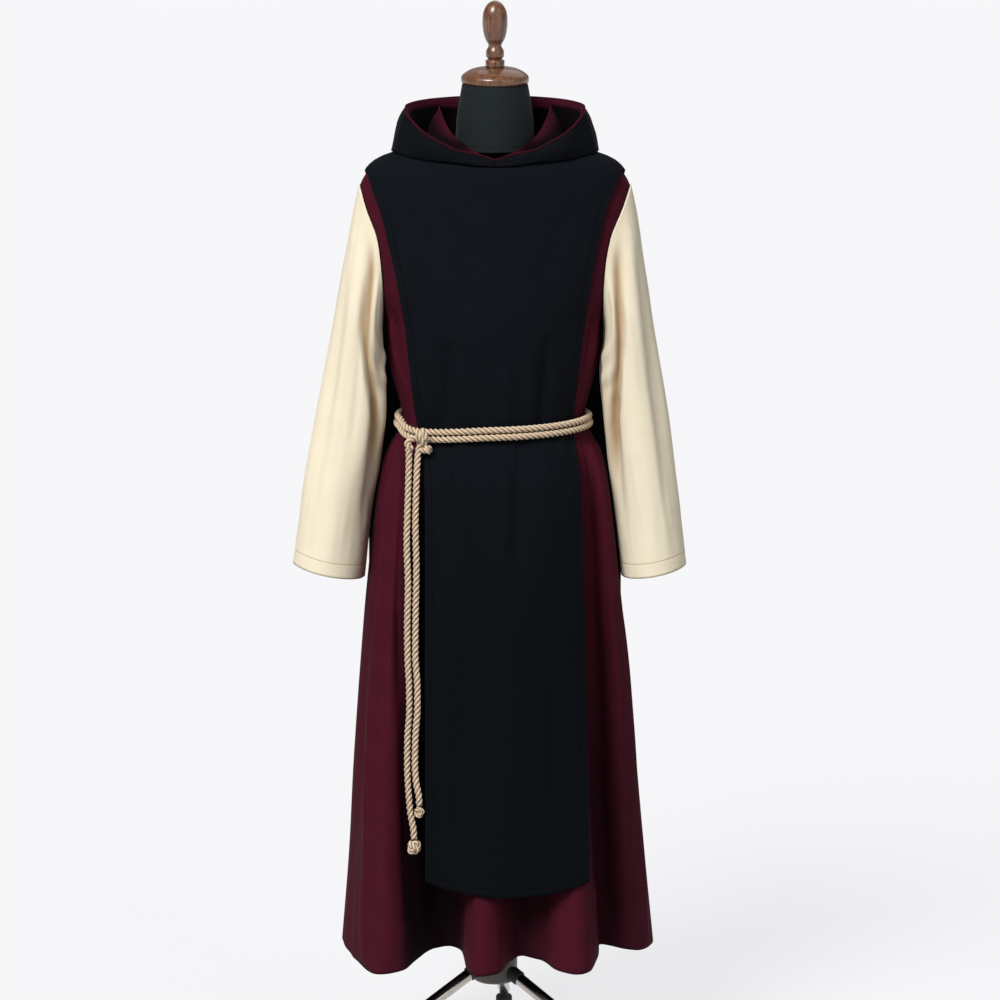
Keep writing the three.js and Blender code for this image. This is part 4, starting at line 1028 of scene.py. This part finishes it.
def sleeveRelief(side, angle, share):
    depth = creaseRelief(sleeveFolds, angle, (1 - share) * 1000, 1.25)
    depth += noise.noise(Vector((angle * 0.03, share * 2.2, 12 + side))) * 3.2
    depth += noise.noise(Vector((angle * 0.09, share * 7, 16 + side))) * 0.9
    # short folds where the cloth breaks under the arm
    off = (angle - 150 + 20 * share) / 24
    depth += 1.5 * math.sin(share * 62 + angle * 0.03) * math.exp(-off * off) * smoothstep(share, 0.1, 0.2) \
        * (1 - smoothstep(share, 0.3, 0.5))
    return depth * smoothstep(share, 0.01, 0.1) * (1 - 0.6 * smoothstep(share, 0.93, 1))


# The head of the sleeve runs up from the cuff, so that the weave's height starts at the hem.
def sleevePiece(name, node, side):
    def place(u, v):
        angle = 360 * u if side > 0 else -360 * u
        return (angle + 180) % 360 - 180, 1 - v

    bm = bentGrid(lambda u, v: sleevePoint(side, *place(u, v)), sleeve["columns"], sleeve["rows"],
                  closedAcross=True, relief=lambda u, v: sleeveRelief(side, *place(u, v)),
                  depth=lambda u, v: sleeveShade(*place(u, v)))
    bmesh.ops.recalc_face_normals(bm, faces=bm.faces)
    piece = addWall(finishPiece(bm, name, creamWool, [node]), sleeve["wall"])


sleevePiece("sleeve_cloth_left", "sleeve_left", 1)
sleevePiece("sleeve_cloth_right", "sleeve_right", -1)
print("sleeves made")


# dress form
# Stretch jersey drawn tight over the form: fine knit that shows as small soft ribs, nearly matt.
jerseyKnit = {"ribMm": 2.2, "lintPerMetre": 420}


def jerseyMaterial():
    material, addNode = newMaterial("stretchJersey")
    place = addNode("TexCoord", out="Object")
    knit = addNode("TexWave", {"Vector": place, "Scale": waveScale(jerseyKnit["ribMm"]), "Distortion": 0.6,
                               "Detail": 1}, out="Fac", wave_type="BANDS", bands_direction="Z")
    lint = addNode("TexNoise", {"Vector": place, "Scale": jerseyKnit["lintPerMetre"], "Detail": 3}, out="Fac")
    colour = addNode("Mix", {0: lint, 6: linear("#14191c"), 7: linear("#1f262a")}, out=2, data_type="RGBA")
    relief = addNode("Math", {0: knit, 1: 0.4, 2: lint}, operation="MULTIPLY_ADD")
    finishMaterial(addNode, colour, relief, 0.4, 0.4, {
        "Roughness": 0.78, "Sheen Weight": 0.08, "Sheen Roughness": 0.4, "IOR": 1.45,
        "Specular IOR Level": 0.12})
    return material


# Turned walnut under clear varnish: straight grain up the piece with darker pores, and a coat gloss.
walnutGrain = {"stretch": 0.16, "grainPerMetre": 150, "poresPerMetre": 700}


def walnutMaterial():
    material, addNode = newMaterial("varnishedWalnut")
    place = addNode("TexCoord", out="Object")
    stretched = addNode("Mapping", {"Vector": place, "Scale": (1, 1, walnutGrain["stretch"])})
    grain = addNode("TexNoise", {"Vector": stretched, "Scale": walnutGrain["grainPerMetre"], "Detail": 6,
                                 "Distortion": 1.4}, out="Fac")
    pores = addNode("TexNoise", {"Vector": stretched, "Scale": walnutGrain["poresPerMetre"], "Detail": 2},
                    out="Fac")
    band = addNode("MapRange", {"Value": grain, "From Min": 0.36, "From Max": 0.66})
    colour = addNode("Mix", {0: band, 6: linear("#7d4d2c"), 7: linear("#46260f")}, out=2, data_type="RGBA")
    dark = addNode("MapRange", {"Value": pores, "From Min": 0.58, "From Max": 0.72})
    dark = addNode("Math", {0: dark, 1: 0.5}, operation="MULTIPLY")
    colour = addNode("Mix", {0: dark, 6: colour, 7: linear("#2b150b")}, out=2, data_type="RGBA")
    finishMaterial(addNode, colour, pores, 0.15, 0.3, {
        "Roughness": 0.42, "IOR": 1.5, "Coat Weight": 0.7, "Coat Roughness": 0.12})
    return material


jersey = jerseyMaterial()
walnut = walnutMaterial()
# height, half width, front, back
formRows = [
    (1000, 146, 90, 94), (1090, 149, 94, 96), (1174, 132, 88, 84), (1300, 156, 100, 94),
    (1420, 176, 104, 100), (1500, 196, 99, 102), (1550, 211, 95, 98), (1588, 220, 94, 96),
]
formHalf, formFront, formBack = linesOf(formRows)
form = {"columns": 96, "rows": 90, "gap": 3.3, "low": 1000, "high": 1650}


def formPoint(u, v):
    height = form["low"] + (form["high"] - form["low"]) * v
    turn = 360 * u
    if height >= 1600:
        return movedOut(turn, height, -form["gap"])
    angle = math.radians(turn)
    depth = formFront(height) if math.cos(angle) > 0 else formBack(height)
    plain = Vector((formHalf(height) * math.sin(angle), -depth * math.cos(angle), height))
    share = smoothstep(height, 1575, 1600)
    return plain.lerp(movedOut(turn, height, -form["gap"]), share) if share > 0 else plain


body = bentGrid(formPoint, form["columns"], form["rows"], closedAcross=True)
for rim in (form["low"], form["high"]):
    height = metres((0, 0, rim)).z
    edges = [edge for edge in body.edges if edge.is_boundary and abs(edge.verts[0].co.z - height) < 0.03]
    bmesh.ops.holes_fill(body, edges=edges, sides=0)
bmesh.ops.recalc_face_normals(body, faces=body.faces)
finishPiece(body, "form_torso", jersey, ["form_body"], 50)
turnedPiece("form_throat", [
    (0, 1652), (70, 1652), (71, 1653.5), (69.4, 1664), (68.5, 1672), (67.2, 1690), (66.5, 1702),
    (64.6, 1719), (62, 1735), (59.4, 1750), (57.4, 1761.5), (56, 1764.7), (0, 1764.7)],
    jersey, ["form_neck"], 72)
# the neck seam, a thin sewn line round the throat
throatSeam = {"height": 1663, "radius": 69.3, "thick": 0.9, "steps": 96}


# A plain round cord along a closed line, for piping and seams, with one depth attribute all along
# it: how far painted shade turns its colour to dark.
def plainCord(name, points, radius, material, darkShare=0):
    sides = 10
    count = len(points) - 1
    tangents, sideways, drift = framesAlong(points, True)

    def surface(u, v):
        j = round(v * count)
        turn = math.tau * u + drift * v
        away = sideways[j] * math.cos(turn) + tangents[j].cross(sideways[j]) * math.sin(turn)
        return points[j] + away * radius

    bm = bentGrid(surface, sides, count, closedAcross=True, closedAlong=True, depth=lambda u, v: darkShare)
    bmesh.ops.recalc_face_normals(bm, faces=bm.faces)
    return finishPiece(bm, name, material, [])


seam = []
for step in range(throatSeam["steps"]):
    angle = math.tau * step / throatSeam["steps"]
    seam.append((throatSeam["radius"] * math.cos(angle), throatSeam["radius"] * math.sin(angle),
                 throatSeam["height"]))
plainCord("form_throat_seam", alongRoute(seam, 5, closed=True), throatSeam["thick"], jersey)

# the rolled edge of the cowl's lining round its opening
rimLine = []
for turn in range(-178, 179, hood["rimStep"]):
    place = mirrored(hoodRim, turn or 0.4)
    rimLine.append((place.x, place.y, place.z + hood["rimLift"]))
# The rim is darkened a little all along by painted shade, as the lining under it is.
plainCord("hood_rim", alongRoute(rimLine, 4, closed=True), hood["rimRadius"], burgundyWool,
          darkShare=0.35)

turnedPiece("form_cap", [
    (0, 1765), (56, 1765), (57.8, 1766), (58.8, 1768), (59.1, 1771), (58.9, 1774), (58.2, 1776.4),
    (57.2, 1778), (55, 1780.2), (51.5, 1782.9), (48, 1785.1), (43.5, 1787.4), (39, 1789.2), (34, 1790.6),
    (27, 1791.6), (20, 1792.1), (16, 1792.3), (0, 1792.3)], walnut, ["neck_cap"], 96, 40)
turnedPiece("form_finial", [
    (0, 0), (15.6, 0), (16.4, 0.6), (16.6, 1.4), (16.6, 10.6), (15.8, 12), (13.2, 12.8), (12.1, 14.2),
    (12.9, 15.6), (14.8, 17), (15.7, 19.4), (15.8, 24), (15.3, 28.2), (13.9, 31.4), (12.2, 33.8),
    (11.3, 36.4), (11.7, 39.2), (13.1, 42), (15.2, 45.4), (17.4, 50), (19.3, 56), (20.7, 63), (21.6, 71),
    (21.9, 79), (21.6, 87), (20.5, 94), (18.6, 100), (15.6, 105.6), (12, 109.8), (8, 112.9), (4, 114.7),
    (0, 115.3)], walnut, ["finial"], 64, 50, at=(0, 0, 1792.6))
print("dress form made")


# stand
# Chrome plate on drawn steel tube: mirror-bright with very faint drawing lines and a few wipe marks.
def chromeMaterial():
    material, addNode = newMaterial("chromePlatedTube")
    place = addNode("TexCoord", out="Object")
    smear = addNode("TexNoise", {"Vector": place, "Scale": 34, "Detail": 4}, out="Fac")
    rough = addNode("MapRange", {"Value": smear, "To Min": 0.1, "To Max": 0.26})
    colour = addNode("Mix", {0: smear, 6: linear("#a29a92"), 7: linear("#cfc9c2")}, out=2, data_type="RGBA")
    fine = addNode("TexNoise", {"Vector": place, "Scale": 600, "Detail": 2}, out="Fac")
    finishMaterial(addNode, colour, fine, 0.04, 0.2, {"Metallic": 1.0, "Roughness": rough})
    return material


# Cast hub under satin enamel, and moulded rubber feet: an even coat with slight orange peel.
def coatMaterial(name, light, dark, roughness, grainMm):
    material, addNode = newMaterial(name)
    place = addNode("TexCoord", out="Object")
    peel = addNode("TexNoise", {"Vector": place, "Scale": 1000 / grainMm, "Detail": 3}, out="Fac")
    colour = addNode("Mix", {0: peel, 6: linear(dark), 7: linear(light)}, out=2, data_type="RGBA")
    finishMaterial(addNode, colour, peel, 0.2, 0.3, {"Roughness": roughness, "IOR": 1.5})
    return material


chrome = chromeMaterial()
enamel = coatMaterial("satinEnamel", "#56524a", "#3f3c36", 0.38, 2.5)
rubber = coatMaterial("mouldedRubber", "#222222", "#151515", 0.7, 1.6)
stand = {"legTurns": (212, 322, 87), "legRadius": 11, "legStart": 45, "legTops": (171, 164, 164),
         "legEnd": (322, 30.2), "footReach": 320, "socketInside": 8, "socketOut": 12, "socketWall": 2.2}

turnedPiece("stand_pole", [(0, 200.3), (13.4, 200.3), (14, 201), (14, 999), (13.4, 999.7), (0, 999.7)],
            chrome, ["pole"], 40, 30)
turnedPiece("stand_hub", [
    (0, 148), (31, 148), (35, 148.6), (38.4, 150.8), (40, 154.5), (40, 188), (39.2, 192), (36.6, 196),
    (32, 199), (28, 200), (0, 200)], enamel, ["hub"], 72, 40)


tubeRound = 1.2               # bevel at a tube's ends


def tubeBetween(name, start, end, radius, material, nodes):
    bm = bmesh.new()
    bmesh.ops.create_cone(bm, cap_ends=True, segments=40, radius1=radius, radius2=radius,
                          depth=(end - start).length)
    rims = [edge for edge in bm.edges if abs(edge.verts[0].co.z - edge.verts[1].co.z) < 1e-4]
    bmesh.ops.bevel(bm, geom=rims, offset=tubeRound, offset_type="OFFSET", segments=3, profile=0.5,
                    affect="EDGES", material=-1)
    turn = Vector((0, 0, 1)).rotation_difference(end - start).to_matrix()
    for vert in bm.verts:
        vert.co = metres(turn @ vert.co + (start + end) / 2)
    return finishPiece(bm, name, material, nodes, 40)


for number, (degrees, top) in enumerate(zip(stand["legTurns"], stand["legTops"]), 1):
    out = Vector((math.cos(math.radians(degrees)), math.sin(math.radians(degrees)), 0))
    start = out * stand["legStart"] + Vector((0, 0, top))
    end = out * stand["legEnd"][0] + Vector((0, 0, stand["legEnd"][1]))
    tubeBetween(f"stand_leg_{number}", start, end, stand["legRadius"], chrome,
                [f"leg_{number}"])
    along = (end - start).normalized()
    tubeBetween(f"stand_socket_{number}", start - along * stand["socketInside"],
                start + along * stand["socketOut"], stand["legRadius"] + stand["socketWall"], rubber,
                [])
    turnedPiece(f"stand_foot_{number}", [
        (0, 0), (13.4, 0), (14.6, 0.5), (15, 1.6), (15, 15), (14.4, 17.4), (12.6, 19.4), (11, 20), (0, 20)],
        rubber, [f"foot_{number}"], 48, 40, at=out * stand["footReach"])
print("stand made")


# floor and light
# the lights are suns as wide as a large lamp's soft box: the direction that each comes from, its
# strength and its width in degrees
studio = {"floor": 60, "floorGlow": 0.8, "world": 0.28,
          "suns": [("key", (-0.5, -0.8, 0.95), 3.25, 26), ("fill", (0.8, -0.8, 0.5), 0.5, 50),
                   ("back", (0.2, 0.8, 0.9), 0.4, 50)]}


# A pale acrylic studio floor lit from below, nearly matt, with faint cloudy unevenness: its glow
# keeps shadows on it light.
def floorMaterial():
    material, addNode = newMaterial("paleStudioFloor")
    place = addNode("TexCoord", out="Object")
    cloud = addNode("TexNoise", {"Vector": place, "Scale": 1.5, "Detail": 2}, out="Fac")
    colour = addNode("Mix", {0: cloud, 6: linear("#6a6a6b"), 7: linear("#6c6c6d")}, out=2, data_type="RGBA")
    glow = addNode("Mix", {0: cloud, 6: linear("#f7f7f9"), 7: linear("#f8f8fa")}, out=2, data_type="RGBA")
    surface = addNode("BsdfPrincipled", {
        "Base Color": colour, "Emission Color": glow, "Emission Strength": studio["floorGlow"],
        "Roughness": 0.9, "Specular IOR Level": 0.1})
    addNode("OutputMaterial", {"Surface": surface})
    return material


def addStudio():
    bm = bmesh.new()
    bmesh.ops.create_grid(bm, x_segments=2, y_segments=2, size=studio["floor"])
    mesh = bpy.data.meshes.new("floor")
    bm.to_mesh(mesh)
    bm.free()
    mesh.materials.append(floorMaterial())
    floor = bpy.data.objects.new("floor", mesh)
    bpy.context.collection.objects.link(floor)
    floor.visible_diffuse = False  # its glow doesn't light the habit
    world = bpy.data.worlds.new("studio")
    world.use_nodes = True
    background = world.node_tree.nodes["Background"]
    background.inputs["Color"].default_value = linear("#f7f8fb")
    background.inputs["Strength"].default_value = studio["world"]
    bpy.context.scene.world = world
    for name, origin, strength, width in studio["suns"]:
        data = bpy.data.lights.new(name, "SUN")
        data.energy = strength
        data.angle = math.radians(width)
        light = bpy.data.objects.new(name, data)
        light.location = origin
        light.rotation_euler = Vector(origin).to_track_quat("Z", "Y").to_euler()
        bpy.context.collection.objects.link(light)


addStudio()
print("floor and lights set")
